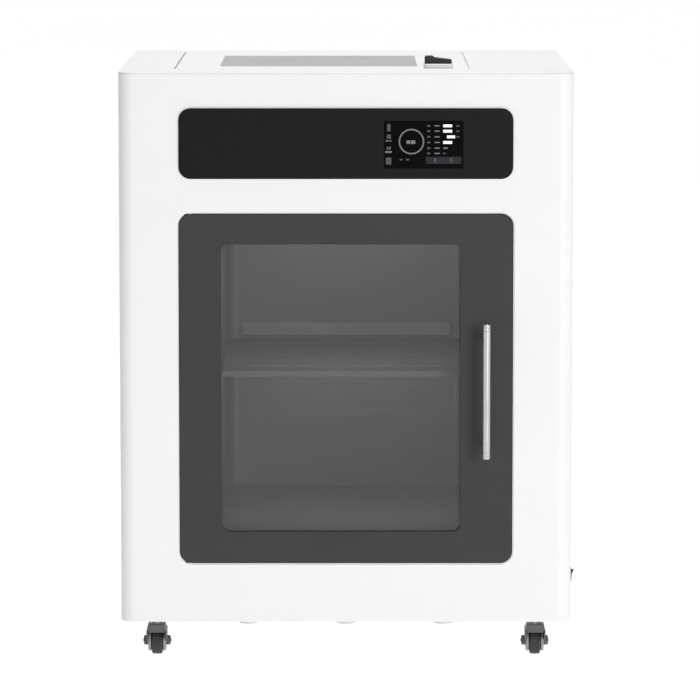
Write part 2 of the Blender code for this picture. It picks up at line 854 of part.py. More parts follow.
def make_fascia():
    """Black control fascia with the display's cut-out and studs for the board."""
    outline = round_rectangle(
        -FASCIA_HALF_WIDTH, FASCIA_HALF_WIDTH, FASCIA_LOW, FASCIA_HIGH, FASCIA_RADIUS, 6
    )
    front = FASCIA_FACE
    fascia = plate(
        "fascia_panel",
        [outline, grown(SCREEN_RECTANGLE, 0.0003, 2)],
        (front, -0.0004),
        "front",
        "black_glass",
    )
    skirt = [
        round_rectangle(-0.2612, 0.2612, 0.7263, 0.8262, 0.0132, 3),
        round_rectangle(-0.2592, 0.2592, 0.7283, 0.8242, 0.0112, 3),
    ]
    fuse(fascia, plate("fascia_skirt", skirt, (-0.0010, 0.0120), "front"))
    studs = []
    for x in BOARD_STUD_XS:
        for height in BOARD_STUD_HEIGHTS:
            studs.append(rod("stud", (x, -0.0010, height), (x, 0.0236, height), 0.003, None, 8))
    fuse(fascia, gathered("board_studs", studs))
    return fascia


def make_display():
    """Touch screen module: front glass with its driver board behind."""
    module = plate(
        "display_module",
        [round_rectangle(*SCREEN_RECTANGLE, 2)],
        (FASCIA_FACE + 0.0001, 0.0060),
        "front",
        "screen_black",
    )
    fuse(
        module,
        box(
            "driver_board",
            (SCREEN_LEFT + 0.004, SCREEN_RIGHT - 0.004),
            (0.0050, 0.0130),
            (SCREEN_LOW + 0.004, SCREEN_HIGH - 0.004),
        ),
    )
    return module


def make_control_board():
    """Control board with its terminal blocks, relay and cooled regulator."""
    board = box("control_board", (-0.156, 0.016), (0.0240, 0.0256), (0.739, 0.813), "board_green")
    fuse(
        board,
        box("terminals", (-0.150, -0.060), (0.0250, 0.0370), (0.741, 0.752)),
        box("relay", (-0.052, -0.024), (0.0250, 0.0410), (0.745, 0.760)),
        box("regulator", (-0.012, 0.008), (0.0250, 0.0330), (0.778, 0.800)),
        box("processor", (-0.100, -0.082), (0.0250, 0.0272), (0.775, 0.793)),
    )
    return board


def make_power_supply():
    """Enclosed power supply on the pan, with its terminal step at one end."""
    supply = box("power_supply", (0.256, 0.306), (0.420, 0.580), (0.0028, 0.112), "zinc_steel")
    cut(supply, box("terminal_step", (0.250, 0.290), (0.400, 0.436), (0.030, 0.120)))
    return supply


def make_mains_inlet():
    """Appliance inlet in the back sheet: flange, socket well and three blades."""
    face = BODY_DEPTH + 0.0003
    x, height = INLET_X, INLET_HEIGHT
    flange = round_rectangle(x - 0.025, x + 0.025, height - 0.014, height + 0.014, 0.004, 2)
    inlet = plate("mains_inlet", [flange], (face, face + 0.0025), "front", "black_plastic")
    body = (x - 0.0135, x + 0.0135), (face - 0.022, face + 0.001), (height - 0.010, height + 0.010)
    well = (x - 0.0112, x + 0.0112), (face - 0.018, face + 0.010), (height - 0.0075, height + 0.0075)
    fuse(inlet, box("inlet_body", *body))
    cut(inlet, box("inlet_well", *well))
    for across, up in ((-0.007, -0.0015), (0.007, -0.0015), (0.0, 0.003)):
        blade_x = (x + across - 0.001, x + across + 0.001)
        blade_z = (height + up - 0.002, height + up + 0.002)
        fuse(inlet, box("inlet_blade", blade_x, (face - 0.020, face - 0.004), blade_z))
    return inlet


def make_power_switch():
    """Rocker switch in the right side: bezel with its body, and the rocker that tips in it."""
    side, depth, height = HALF_WIDTH + 0.0003, SWITCH_DEPTH, SWITCH_HEIGHT
    bezel = box(
        "switch_bezel",
        (side, side + 0.0013),
        (depth - 0.0074, depth + 0.0074),
        (height - 0.0112, height + 0.0112),
        "black_plastic",
    )
    fuse(
        bezel,
        box(
            "switch_body",
            (side - 0.018, side + 0.0006),
            (depth - 0.0060, depth + 0.0060),
            (height - 0.0091, height + 0.0091),
        ),
    )
    cut(
        bezel,
        box(
            "switch_well",
            (side - 0.012, side + 0.010),
            (depth - 0.0050, depth + 0.0050),
            (height - 0.0088, height + 0.0088),
        ),
    )
    profile = [(-0.0040, -0.0040), (0.0002, -0.0078), (0.0017, -0.0075)]
    profile += [(0.0018, 0.0), (0.0052, 0.0074), (0.0035, 0.0078), (-0.0040, 0.0040)]
    points = [(across, height + up) for across, up in profile]
    rocker = plate("power_rocker", [points], (-0.0044, 0.0044), "front", "black_plastic")
    rocker.location = cabinet(side, depth, 0)
    pivot("rocker_axis", (side, depth, height), [rocker])
    return bezel, rocker


# ---- door ---------------------------------------------------------------------------------


def make_door():
    """Inset door: pressed frame, tinted pane, clamping backing, gasket, handle and pins."""
    frame = plate(
        "door_frame",
        [grown(DOOR_RECTANGLE, 0.0), grown(WINDOW_RECTANGLE, 0.0)],
        (0.0, DOOR_DEPTH),
        "front",
        "graphite_enamel",
    )
    hollow_span = (0.004, DOOR_DEPTH + 0.010)
    cut(
        frame,
        plate(
            "door_hollow",
            [grown(DOOR_RECTANGLE, -DOOR_WALL), grown(WINDOW_RECTANGLE, 0.0095)],
            hollow_span,
            "front",
        ),
        plate("pane_rebate", [grown(WINDOW_RECTANGLE, 0.0070)], hollow_span, "front"),
    )
    pane = plate(
        "door_pane", [grown(WINDOW_RECTANGLE, 0.0065)], (0.0043, 0.0083), "front", "tinted_glass"
    )
    backing = plate(
        "door_backing",
        [grown(DOOR_RECTANGLE, -0.0010), grown(WINDOW_RECTANGLE, 0.0010)],
        (DOOR_DEPTH + 0.0003, DOOR_DEPTH + 0.0018),
        "front",
        "graphite_enamel",
    )
    clamp = [grown(WINDOW_RECTANGLE, 0.0045), grown(WINDOW_RECTANGLE, 0.0012)]
    fuse(backing, plate("pane_clamp", clamp, (0.0087, DOOR_DEPTH + 0.0008), "front"))
    seal = (-0.220, 0.220, 0.134, 0.648, 0.010)
    gasket = plate(
        "door_gasket",
        [grown(seal, 0.009), grown(seal, 0.0)],
        (DOOR_DEPTH + 0.0021, LANDING_DEPTH - 0.0004),
        "front",
        "black_rubber",
    )
    pieces = [frame, pane, backing, gasket, *make_handle(frame)]
    for name, end, inward in (("door_pin_top", DOOR_HIGH, -1), ("door_pin_bottom", DOOR_LOW, 1)):
        heights = sorted((end + inward * 0.0064, end + inward * 0.0150))
        x = (DOOR_PIVOT_X - 0.005, DOOR_PIVOT_X + 0.018)
        pin = box(name, x, (0.0043, 0.0180), heights, "zinc_steel")
        start = (DOOR_PIVOT_X, DOOR_PIVOT_DEPTH, end + inward * 0.0074)
        tip = (DOOR_PIVOT_X, DOOR_PIVOT_DEPTH, end - inward * 0.014)
        pieces.append(fuse(pin, rod("pin", start, tip, DOOR_PIN_RADIUS, segments=12)))
        hole = (DOOR_PIVOT_X, DOOR_PIVOT_DEPTH, end + inward * 0.0080)
        mouth = (DOOR_PIVOT_X, DOOR_PIVOT_DEPTH, end - inward * 0.0060)
        cut(frame, rod("frame_pin_hole", hole, mouth, DOOR_PIN_RADIUS + 0.0004, segments=12))
    pivot("door_axis", (DOOR_PIVOT_X, DOOR_PIVOT_DEPTH, (DOOR_LOW + DOOR_HIGH) / 2), pieces)
    return pieces


def make_handle(frame):
    """Round pull bar on two posts that pass through the door's face."""
    centre = -HANDLE_REACH + HANDLE_RADIUS
    rounding = 0.0012
    half = (HANDLE_HIGH - HANDLE_LOW) / 2
    bar = turned(
        "handle_bar",
        [
            (0.0, half),
            (HANDLE_RADIUS - rounding, half),
            (HANDLE_RADIUS, half - rounding),
            (HANDLE_RADIUS, -half + rounding),
            (HANDLE_RADIUS - rounding, -half),
            (0.0, -half),
        ],
        (HANDLE_X, centre, (HANDLE_HIGH + HANDLE_LOW) / 2),
        (0, 0, 1),
        "brushed_aluminium",
        24,
    )
    pieces = [bar]
    reach = centre + HANDLE_RADIUS + 0.0003
    for name, height in (
        ("handle_post_top", HANDLE_HIGH - 0.022),
        ("handle_post_bottom", HANDLE_LOW + 0.022),
    ):
        face = (HANDLE_X, -0.0003, height)
        post = rod(name, (HANDLE_X, reach, height), face, 0.0050, "brushed_aluminium")
        stem = rod("stem", (HANDLE_X, -0.0010, height), (HANDLE_X, 0.0110, height), 0.0025)
        pieces.append(fuse(post, stem))
        hole = (HANDLE_X, -0.010, height), (HANDLE_X, 0.010, height)
        cut(frame, rod("post_hole", *hole, 0.0030, segments=12))
    return pieces


def make_door_brackets():
    """Pivot blocks above and below the recess, and the magnetic catch on the landing."""
    for name, low, high in (
        ("door_bracket_top", DOOR_HIGH + 0.0049, DOOR_HIGH + 0.020),
        ("door_bracket_bottom", DOOR_LOW - 0.020, DOOR_LOW - 0.0049),
    ):
        x = (DOOR_PIVOT_X - 0.013, DOOR_PIVOT_X + 0.013)
        block = box(name, x, (0.0018, 0.0200), (low, high), "zinc_steel")
        start = (DOOR_PIVOT_X, DOOR_PIVOT_DEPTH, low - 0.005)
        end = (DOOR_PIVOT_X, DOOR_PIVOT_DEPTH, high + 0.005)
        cut(block, rod("bush_bore", start, end, DOOR_PIN_RADIUS + 0.0003, segments=12))
    catch = box("door_catch", (0.238, 0.256), (0.0246, 0.0321), (0.350, 0.410), "black_plastic")
    return bevel(catch, 0.001, 1)


# ---- lid ----------------------------------------------------------------------------------


def lid_pin_ends(extra=0.0):
    """Front and back end of the lid's hinge pin, which runs the lid's whole length."""
    front = (LID_PIVOT_X, LID_FRONT - 0.0125 - extra, LID_PIVOT_HEIGHT)
    back = (LID_PIVOT_X, LID_BACK + 0.0125 + extra, LID_PIVOT_HEIGHT)
    return front, back


def make_lid():
    """Flush top lid: pressed tray, let-in window, gasket, hinge pins and latch plate."""
    left, right, front, back = LID_WINDOW_LEFT, LID_WINDOW_RIGHT, LID_WINDOW_FRONT, LID_WINDOW_BACK
    window = (left, right, front, back, 0.004)
    underside = BODY_HEIGHT - LID_DEPTH
    tray = plate(
        "lid_panel",
        [grown(LID_RECTANGLE, 0.0, 3)],
        (underside, BODY_HEIGHT),
        "top",
        "white_enamel",
    )
    bevel(tray, 0.0022, 2)
    hollow = [grown(LID_RECTANGLE, -0.002, 1), grown(window, 0.003, 2)]
    cut(
        tray,
        plate("lid_hollow", hollow, (underside - 0.010, BODY_HEIGHT - 0.0025), "top"),
        plate("window_hole", [grown(window, -0.0035, 2)], (underside - 0.02, 0.92), "top"),
        plate("window_rebate", [grown(window, 0.0003, 2)], (BODY_HEIGHT - 0.0038, 0.92), "top"),
        rod("latch_hole", (LATCH_X, LATCH_DEPTH, 0.870), (LATCH_X, LATCH_DEPTH, 0.90), 0.0052),
    )
    pane = plate(
        "lid_window", [grown(window, 0.0, 2)], (BODY_HEIGHT - 0.0035, BODY_HEIGHT - 0.0002), "top",
        "smoked_acrylic",
    )
    seal = (-0.222, 0.183, 0.1215, 0.520, 0.006)
    gasket = plate(
        "lid_gasket",
        [grown(seal, 0.006, 2), grown(seal, 0.0, 2)],
        (LID_LANDING + 0.0003, underside - 0.0003),
        "top",
        "grey_rubber",
    )
    pin = rod("lid_hinge_pin", *lid_pin_ends(), 0.0030, "zinc_steel", 12)
    cut(tray, rod("tray_pin_hole", *lid_pin_ends(0.001), 0.0034, segments=12))
    base = plate(
        "latch_plate",
        [round_rectangle(LATCH_X - 0.024, LATCH_X + 0.024, 0.111, 0.159, 0.010, 4)],
        (BODY_HEIGHT + 0.0003, BODY_HEIGHT + 0.0070),
        "top",
        "light_plastic",
    )
    bevel(base, 0.0016, 2)
    middle = (LATCH_X, LATCH_DEPTH)
    cut(base, rod("plate_bore", (*middle, 0.88), (*middle, 0.91), 0.0052))
    pieces = [tray, pane, gasket, pin, base]
    pivot("lid_axis", (LID_PIVOT_X, 0.365, LID_PIVOT_HEIGHT), pieces)
    return pieces


def make_latch():
    """Turn latch: a lever with its spindle above the lid, and the cam arm below."""
    low = BODY_HEIGHT + 0.0073
    outline = round_rectangle(LATCH_X - 0.022, LATCH_X + 0.022, 0.123, 0.147, 0.007, 4)
    lever = plate("latch_lever", [outline], (low, low + 0.0095), "top", "black_plastic")
    bevel(lever, 0.0014, 2)
    thumb = round_rectangle(LATCH_X - 0.0215, LATCH_X - 0.0095, 0.1235, 0.1465, 0.004, 2)
    middle = (LATCH_X, LATCH_DEPTH)
    fuse(
        lever,
        plate("thumb_rise", [thumb], (low + 0.005, low + 0.0125), "top"),
        rod("spindle", (*middle, 0.8625), (*middle, low + 0.002), 0.0046),
    )
    cam_outline = arc(middle, 0.009, 180, 360, 6) + arc((LATCH_X, LATCH_DEPTH + 0.036), 0.006, 0, 180, 4)
    cam = plate("latch_cam", [cam_outline], (0.8575, 0.8608), "top", "zinc_steel")
    fuse(cam, rod("cam_nut", (*middle, 0.8600), (*middle, 0.8622), 0.0055, segments=6))
    pivot("latch_axis", (LATCH_X, LATCH_DEPTH, BODY_HEIGHT), [lever, cam])
    return lever, cam


def make_lid_brackets():
    """Pivot blocks outside the lid's recess, in front of it and behind it."""
    beside = LID_GAP + SHEET + GAP
    x = (LID_PIVOT_X - 0.009, LID_PIVOT_X + 0.009)
    for name, near, far in (
        ("lid_bracket_front", LID_FRONT - 0.0140, LID_FRONT - beside),
        ("lid_bracket_back", LID_BACK + beside, LID_BACK + 0.0140),
    ):
        block = box(name, x, (near, far), (0.8720, 0.8876), "zinc_steel")
        start = (LID_PIVOT_X, near - 0.005, LID_PIVOT_HEIGHT)
        end = (LID_PIVOT_X, far + 0.005, LID_PIVOT_HEIGHT)
        cut(block, rod("bush_bore", start, end, 0.0034, segments=12))


# ---- casters and fasteners ----------------------------------------------------------------

BOLT_OFFSETS = ((-0.023, -0.016), (0.023, -0.016), (-0.023, 0.016), (0.023, 0.016))
PLATE_LOW = -0.0030
CROWN_TOP = -0.0085
CROWN_UNDERSIDE = -0.0110


def caster_places():
    """Swivel axis of each caster in plan: front left, front right, back left, back right."""
    return [(side * CASTER_X, depth) for depth in CASTER_DEPTHS for side in (-1, 1)]


def make_caster_plate(name, x, depth):
    """Mounting plate with its raceway, riveted kingpin and four bolts up through the pan."""
    outline = round_rectangle(x - 0.030, x + 0.030, depth - 0.023, depth + 0.023, 0.005, 2)
    base = plate(name, [outline], (PLATE_LOW, -GAP), "top", "zinc_steel")
    kingpin = [(x, depth, height) for height in (-0.0122, -0.0050)]
    race = [(x, depth, height) for height in (CROWN_TOP + GAP, -0.0020)]
    fuse(
        base,
        rod("raceway", *race, 0.013, segments=16),
        rod("kingpin", *kingpin, 0.0042, segments=12),
    )
    bolts = []
    for across, back in BOLT_OFFSETS:
        head = [(x + across, depth + back, height) for height in (-0.0066, -0.0020)]
        shank = [(x + across, depth + back, height) for height in (-0.0030, 0.0062)]
        bolts.append(rod("bolt_head", *head, 0.0058, segments=6))
        fuse(base, rod("bolt_shank", *shank, 0.0028, segments=8))
    return fuse(base, gathered("bolt_heads", bolts))


def make_fork():
    """Pressed caster fork, modelled on the first caster's swivel axis."""
    x, depth = caster_places()[0]
    side = [
        (-0.016, CROWN_TOP),
        (0.026, CROWN_TOP),
        (0.030, -0.0140),
        (0.029, -0.0425),
        (0.024, -0.0475),
        (0.016, -0.0475),
        (0.010, -0.0425),
        (-0.012, -0.0250),
        (-0.016, -0.0250),
    ]
    points = [(depth + along, height) for along, height in side]
    fork = plate("fork", [points], (x - 0.014, x + 0.014), "side", "zinc_steel")
    hub_depth = depth + CASTER_TRAIL
    cut(
        fork,
        box(
            "wheel_space",
            (x - 0.012, x + 0.012),
            (depth - 0.0138, depth + 0.050),
            (-0.070, CROWN_UNDERSIDE),
        ),
        rod("kingpin_bore", (x, depth, -0.020), (x, depth, 0.0), 0.0048, segments=12),
    )
    axle = [(x + across, hub_depth, -AXLE_DROP) for across in (-0.0230, 0.0230)]
    left_head = [(x + across, hub_depth, -AXLE_DROP) for across in (-0.0190, -0.0130)]
    right_head = [(x + across, hub_depth, -AXLE_DROP) for across in (0.0130, 0.0190)]
    fuse(
        fork,
        rod("axle", *axle, 0.0030, segments=12),
        rod("axle_head", *left_head, 0.0065, segments=6),
        rod("axle_nut", *right_head, 0.0065, segments=6),
    )
    return fork


def wheel_profile():
    """Closed section of the wheel: bore, hub, thin web, rim and rounded tread."""
    half = [
        (0.0037, 0.0105),
        (0.0080, 0.0105),
        (0.0095, 0.0058),
        (0.0160, 0.0058),
        (0.0170, 0.0088),
        (WHEEL_RADIUS - 0.0010, 0.0082),
        (WHEEL_RADIUS, 0.0045),
    ]
    return half + [(radius, -along) for radius, along in half[::-1]]


def make_casters():
    """Four swivel casters: plate, fork with its riveted axle, and wheel."""
    names = ("front_left", "front_right", "back_left", "back_right")
    first = make_fork()
    fork_mesh = evaluated_mesh(first)
    swivel = cabinet(*caster_places()[0], 0)
    fork_mesh.transform(Matrix.Translation(-swivel) @ first.matrix_world)
    bpy.data.objects.remove(first, do_unlink=True)
    for name, (x, depth) in zip(names, caster_places()):
        make_caster_plate("caster_plate_" + name, x, depth)
        fork = link("caster_fork_" + name, fork_mesh, cabinet(x, depth, 0), "zinc_steel")
        hub = (x, depth + CASTER_TRAIL, -AXLE_DROP)
        wheel = turned(
            "caster_wheel_" + name, wheel_profile(), hub, (1, 0, 0), "black_rubber", 24, True
        )
        pivot("swivel_" + name, (x, depth, 0), [soften(fork), wheel])


def make_pads():
    """Moulded rubber strip under the front edge with three low round pads."""
    strip = box("base_pad_strip", (-0.170, 0.170), (0.014, 0.024), (-0.0016, -0.0004), "grey_rubber")
    for x in (-0.158, 0.0, 0.158):
        fuse(strip, rod("pad", (x, 0.018, -0.0042), (x, 0.018, -0.0008), 0.015, segments=20))
    return strip


def main():
    make_front_panel()
    make_side_panels()
    make_rear_panel()
    make_top_panel()
    make_base_pan()
    make_chamber_liner()
    make_insulation()
    make_air_duct()
    frame, rotor = make_fan()
    pivot("fan_axis", (0, 0.5283, FAN_HEIGHT), [rotor])
    make_heater()
    make_vent()
    make_shelf()
    make_shelf_rails()
    make_chamber_fittings()
    make_fascia()
    make_display()
    make_control_board()
    make_power_supply()
    make_mains_inlet()
    make_power_switch()
    make_door()
    make_door_brackets()
    make_lid()
    make_latch()
    make_lid_brackets()
    make_casters()
    make_pads()


main()
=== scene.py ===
"""Looks of the filament drying cabinet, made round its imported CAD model.

Lengths are in metres, +Z is up and the door faces -Y. Every place is worked out from the CAD
nodes' boxes and the joints' positions.
"""

import json
import math

import bmesh
import bpy
from mathutils import Matrix, Vector

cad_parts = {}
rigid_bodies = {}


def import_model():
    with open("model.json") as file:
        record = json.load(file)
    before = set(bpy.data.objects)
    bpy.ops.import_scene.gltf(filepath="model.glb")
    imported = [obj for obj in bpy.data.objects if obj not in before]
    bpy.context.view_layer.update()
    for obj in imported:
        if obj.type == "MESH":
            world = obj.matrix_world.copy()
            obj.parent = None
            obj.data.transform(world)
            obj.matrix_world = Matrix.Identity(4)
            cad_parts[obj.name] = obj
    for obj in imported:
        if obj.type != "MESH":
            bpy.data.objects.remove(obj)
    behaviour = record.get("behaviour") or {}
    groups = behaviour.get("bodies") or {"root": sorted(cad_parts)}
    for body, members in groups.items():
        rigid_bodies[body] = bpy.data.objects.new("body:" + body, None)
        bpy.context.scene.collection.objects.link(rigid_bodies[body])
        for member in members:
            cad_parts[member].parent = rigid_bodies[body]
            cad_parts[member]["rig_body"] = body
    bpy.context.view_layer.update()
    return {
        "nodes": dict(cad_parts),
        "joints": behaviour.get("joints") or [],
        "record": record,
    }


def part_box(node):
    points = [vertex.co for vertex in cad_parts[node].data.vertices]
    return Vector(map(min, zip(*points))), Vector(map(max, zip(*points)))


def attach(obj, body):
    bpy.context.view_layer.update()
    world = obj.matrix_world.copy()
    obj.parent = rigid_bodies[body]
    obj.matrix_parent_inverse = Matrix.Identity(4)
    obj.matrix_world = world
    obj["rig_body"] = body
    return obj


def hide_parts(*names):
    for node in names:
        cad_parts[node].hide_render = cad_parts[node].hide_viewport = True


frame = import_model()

RECORD = frame["record"]
SLOTS = {row["node"]: row["material_slot"] for row in RECORD["subparts"]}
JOINTS = {joint["name"]: joint for joint in frame["joints"]}
CORNERS = ("front_left", "front_right", "back_left", "back_right")

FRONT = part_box("front_panel")[0].y
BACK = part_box("rear_panel")[1].y
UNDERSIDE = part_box("base_pan")[0].z

WHITE = (1.0, 1.0, 1.0, 1.0)


# ---- materials ----------------------------------------------------------------------------


def new_material(name, roughness, metallic=0.0, **sockets):
    """A Principled material, with more of its sockets set by name."""
    made = bpy.data.materials.new(name)
    made.use_nodes = True
    shader = made.node_tree.nodes["Principled BSDF"]
    shader.inputs["Roughness"].default_value = roughness
    shader.inputs["Metallic"].default_value = metallic
    for socket, value in sockets.items():
        shader.inputs[socket.replace("_", " ")].default_value = value
    return made


def add_node(look, kind, inputs=None, **settings):
    """A shader node with its settings, and its inputs linked or set."""
    made = look.node_tree.nodes.new(kind)
    for name, value in settings.items():
        setattr(made, name, value)
    for name, value in (inputs or {}).items():
        if isinstance(value, bpy.types.NodeSocket):
            look.node_tree.links.new(value, made.inputs[name])
        else:
            made.inputs[name].default_value = value
    return made


def drive(look, socket, source):
    """Link a source to one of the Principled shader's sockets."""
    shader = look.node_tree.nodes["Principled BSDF"]
    look.node_tree.links.new(source, shader.inputs[socket])


def grain(look, scale, stretch=(1.0, 1.0, 1.0), detail=3.0):
    """Noise over the piece's own coordinates."""
    coordinates = add_node(look, "ShaderNodeTexCoord").outputs["Object"]
    placed = add_node(look, "ShaderNodeMapping", {"Vector": coordinates, "Scale": stretch})
    inputs = {"Vector": placed.outputs["Vector"], "Scale": scale, "Detail": detail}
    return add_node(look, "ShaderNodeTexNoise", inputs).outputs["Fac"]


def cells(look, scale):
    """A patchwork of cells, each with its own value."""
    coordinates = add_node(look, "ShaderNodeTexCoord").outputs["Object"]
    inputs = {"Vector": coordinates, "Scale": scale}
    colour = add_node(look, "ShaderNodeTexVoronoi", inputs).outputs["Color"]
    return add_node(look, "ShaderNodeSeparateColor", {"Color": colour}).outputs["Red"]


def tint(look, pattern, dark, light, low=0.30, high=0.70):
    """Base colour from dark to light as the pattern rises."""
    ramp = add_node(look, "ShaderNodeValToRGB", {"Fac": pattern})
    first, last = ramp.color_ramp.elements
    first.position, last.position = low, high
    first.color, last.color = (*dark, 1.0), (*light, 1.0)
    drive(look, "Base Color", ramp.outputs["Color"])


def polish(look, pattern, smooth, rough):
    """Roughness from smooth to rough as the pattern rises."""
    inputs = {
        "Value": pattern, "From Min": 0.3, "From Max": 0.7, "To Min": smooth, "To Max": rough
    }
    drive(look, "Roughness", add_node(look, "ShaderNodeMapRange", inputs).outputs["Result"])


def relief(look, pattern, depth):
    """Surface relief of a given depth."""
    inputs = {"Height": pattern, "Distance": depth, "Strength": 1.0}
    drive(look, "Normal", add_node(look, "ShaderNodeBump", inputs).outputs["Normal"])


def coated(name, colour, roughness, variation=0.02, grit=900.0, depth=0.00003, **sockets):
    """Painted, moulded or rubber surface: slight mottling over a fine even texture."""
    look = new_material(name, roughness, **sockets)
    dark = [channel * (1.0 - variation) for channel in colour]
    light = [min(channel * (1.0 + variation), 1.0) for channel in colour]
    tint(look, grain(look, 14.0), dark, light)
    polish(look, grain(look, 60.0), roughness * 0.9, roughness * 1.1)
    relief(look, grain(look, grit), depth)
    return look


def metal(name, colour, roughness, stretch, **sockets):
    """Bare metal with brush marks along the direction that is stretched least."""
    look = new_material(name, roughness, **sockets)
    marks = grain(look, 180.0, stretch)
    tint(look, marks, [0.90 * c for c in colour], [min(1.06 * c, 1.0) for c in colour])
    polish(look, marks, roughness * 0.85, roughness * 1.2)
    relief(look, marks, 0.00001)
    return look


def galvanised(name):
    """Zinc-coated sheet with its spangle."""
    look = new_material(name, 0.42, metallic=0.9)
    spangle = cells(look, 90.0)
    tint(look, spangle, (0.50, 0.52, 0.54), (0.64, 0.66, 0.68), 0.1, 0.9)
    polish(look, spangle, 0.34, 0.5)
    relief(look, grain(look, 400.0), 0.00001)
    return look


def wool(name):
    """Matted mineral fibre."""
    look = new_material(name, 0.95, Sheen_Weight=0.3)
    fibres = grain(look, 120.0, (1.0, 1.0, 6.0), 8.0)
    tint(look, fibres, (0.45, 0.40, 0.28), (0.68, 0.62, 0.46))
    relief(look, fibres, 0.002)
    return look


def pane(name, colour, alpha, roughness):
    """Tinted sheet that lets part of the view through, with a faint haze."""
    look = new_material(name, roughness, Alpha=alpha, Specular_IOR_Level=0.25)
    haze = grain(look, 9.0)
    tint(look, haze, [0.97 * c for c in colour], [1.03 * c for c in colour])
    polish(look, grain(look, 40.0), roughness * 0.97, roughness * 1.03)
    return look


def glowing(name, colour, strength, body=0.02):
    """Lit marks or lamps, with a fine cell pattern on the material under the light."""
    look = new_material(
        name, 0.4, Emission_Color=(*colour, 1.0), Emission_Strength=strength,
        Specular_IOR_Level=0.1,
    )
    tint(look, cells(look, 3000.0), [body * c for c in colour], [1.3 * body * c for c in colour])
    return look


def make_materials():
    """Every finish, by the name of its slot in the record, and a few for details."""
    looks = {
        "white_enamel": coated(
            "white_enamel", (0.89, 0.89, 0.89), 0.48, 0.006, Specular_IOR_Level=0.35
        ),
        "graphite_enamel": coated(
            "graphite_enamel", (0.045, 0.045, 0.046), 0.42, 0.04, Specular_IOR_Level=0.22
        ),
        "black_glass": coated(
            "black_glass", (0.0048, 0.0050, 0.0052), 0.34, 0.04, 1400.0, 0.00001,
            Specular_IOR_Level=0.18,
        ),
        "screen_black": coated(
            "screen_black", (0.0020, 0.0020, 0.0022), 0.25, 0.1, 2500.0, 0.000002,
            Specular_IOR_Level=0.05,
        ),
        "tinted_glass": pane("tinted_glass", (0.085, 0.085, 0.087), 0.45, 0.16),
        "smoked_acrylic": pane("smoked_acrylic", (0.67, 0.67, 0.67), 0.94, 0.25),
        "brushed_aluminium": metal(
            "brushed_aluminium", (0.52, 0.52, 0.52), 0.24, (6.0, 6.0, 0.15),
            metallic=1.0, Anisotropic=0.5,
        ),
        "zinc_steel": metal("zinc_steel", (0.56, 0.57, 0.58), 0.36, (1.0, 1.0, 1.0), metallic=0.9),
        "chamber_steel": metal(
            "chamber_steel", (0.34, 0.34, 0.345), 0.44, (0.2, 4.0, 4.0), metallic=0.35
        ),
        "galvanised_sheet": galvanised("galvanised_sheet"),
        "black_rubber": coated("black_rubber", (0.018, 0.018, 0.018), 0.72, 0.1, 500.0, 0.0001),
        "black_tyre": coated("black_tyre", (0.028, 0.028, 0.029), 0.62, 0.15, 700.0, 0.00008),
        "grey_rubber": coated("grey_rubber", (0.66, 0.66, 0.66), 0.70, 0.04, 500.0, 0.0001),
        "black_plastic": coated(
            "black_plastic", (0.014, 0.014, 0.015), 0.42, 0.08, 1500.0, Specular_IOR_Level=0.35
        ),
        "light_plastic": coated("light_plastic", (0.72, 0.72, 0.72), 0.40, 0.02, 1500.0),
        "mineral_wool": wool("mineral_wool"),
        "board_green": coated("board_green", (0.02, 0.12, 0.06), 0.45, 0.25, 300.0, 0.0001),
        "heater_alloy": metal("heater_alloy", (0.5, 0.5, 0.52), 0.5, (1.0, 1.0, 4.0), metallic=0.9),
        "lamp_diffuser": glowing("lamp_diffuser", (0.92, 0.96, 1.0), 1.5, 0.6),
    }
    details = {
        "caster_grey": coated("caster_grey", (0.088, 0.088, 0.091), 0.40, 0.12, 800.0, 0.00005),
        "caster_zinc": metal(
            "caster_zinc", (0.60, 0.60, 0.61), 0.38, (1.0, 1.0, 1.0), metallic=0.25
        ),
        "guard_grey": coated("guard_grey", (0.31, 0.31, 0.315), 0.45, 0.03, 900.0),
        "shelf_steel": metal(
            "shelf_steel", (0.24, 0.24, 0.245), 0.66, (0.2, 4.0, 4.0), metallic=0.2
        ),
        # Painted highlight: a near-white strip stands in for light catching the shelf's front lip.
        "lip_painted_highlight": metal("lip_painted_highlight", (0.90, 0.90, 0.90), 0.42, (0.2, 4.0, 4.0), metallic=0.1),
        # Painted highlight: a lighter steel on the back stop's face stands in for light falling on
        # it.
        "stop_painted_highlight": metal("stop_painted_highlight", (0.52, 0.52, 0.525), 0.40, (0.2, 4.0, 4.0), metallic=0.3),
        "pale_seal": coated("pale_seal", (0.78, 0.78, 0.78), 0.60, 0.02, 700.0, 0.00005),
        "mark_bright": glowing("mark_bright", (0.95, 0.97, 1.0), 1.1),
        "mark_grey": glowing("mark_grey", (0.90, 0.95, 1.0), 0.20),
        "mark_dim": glowing("mark_dim", (0.90, 0.95, 1.0), 0.075),
        "screen_strip": glowing("screen_strip", (0.80, 0.82, 1.0), 0.011),
    }
    return {**looks, **details}


LOOKS = make_materials()


# ---- shapes: each function returns a bmesh in world coordinates ---------------------------


def arc(centre, radius, start, end, steps):
    """Points on a circle, with the angles in degrees."""
    angles = [math.radians(start + (end - start) * i / steps) for i in range(steps + 1)]
    return [(centre[0] + radius * math.cos(a), centre[1] + radius * math.sin(a)) for a in angles]


def round_rectangle(left, right, low, high, radius, steps=6):
    """Outline of a rectangle with round corners."""
    points = arc((right - radius, low + radius), radius, -90, 0, steps)
    points += arc((right - radius, high - radius), radius, 0, 90, steps)
    points += arc((left + radius, high - radius), radius, 90, 180, steps)
    return points + arc((left + radius, low + radius), radius, 180, 270, steps)


def facing(axis):
    """Rotation that turns +Z to an axis."""
    return Vector(axis).to_track_quat("Z", "Y").to_matrix().to_4x4()


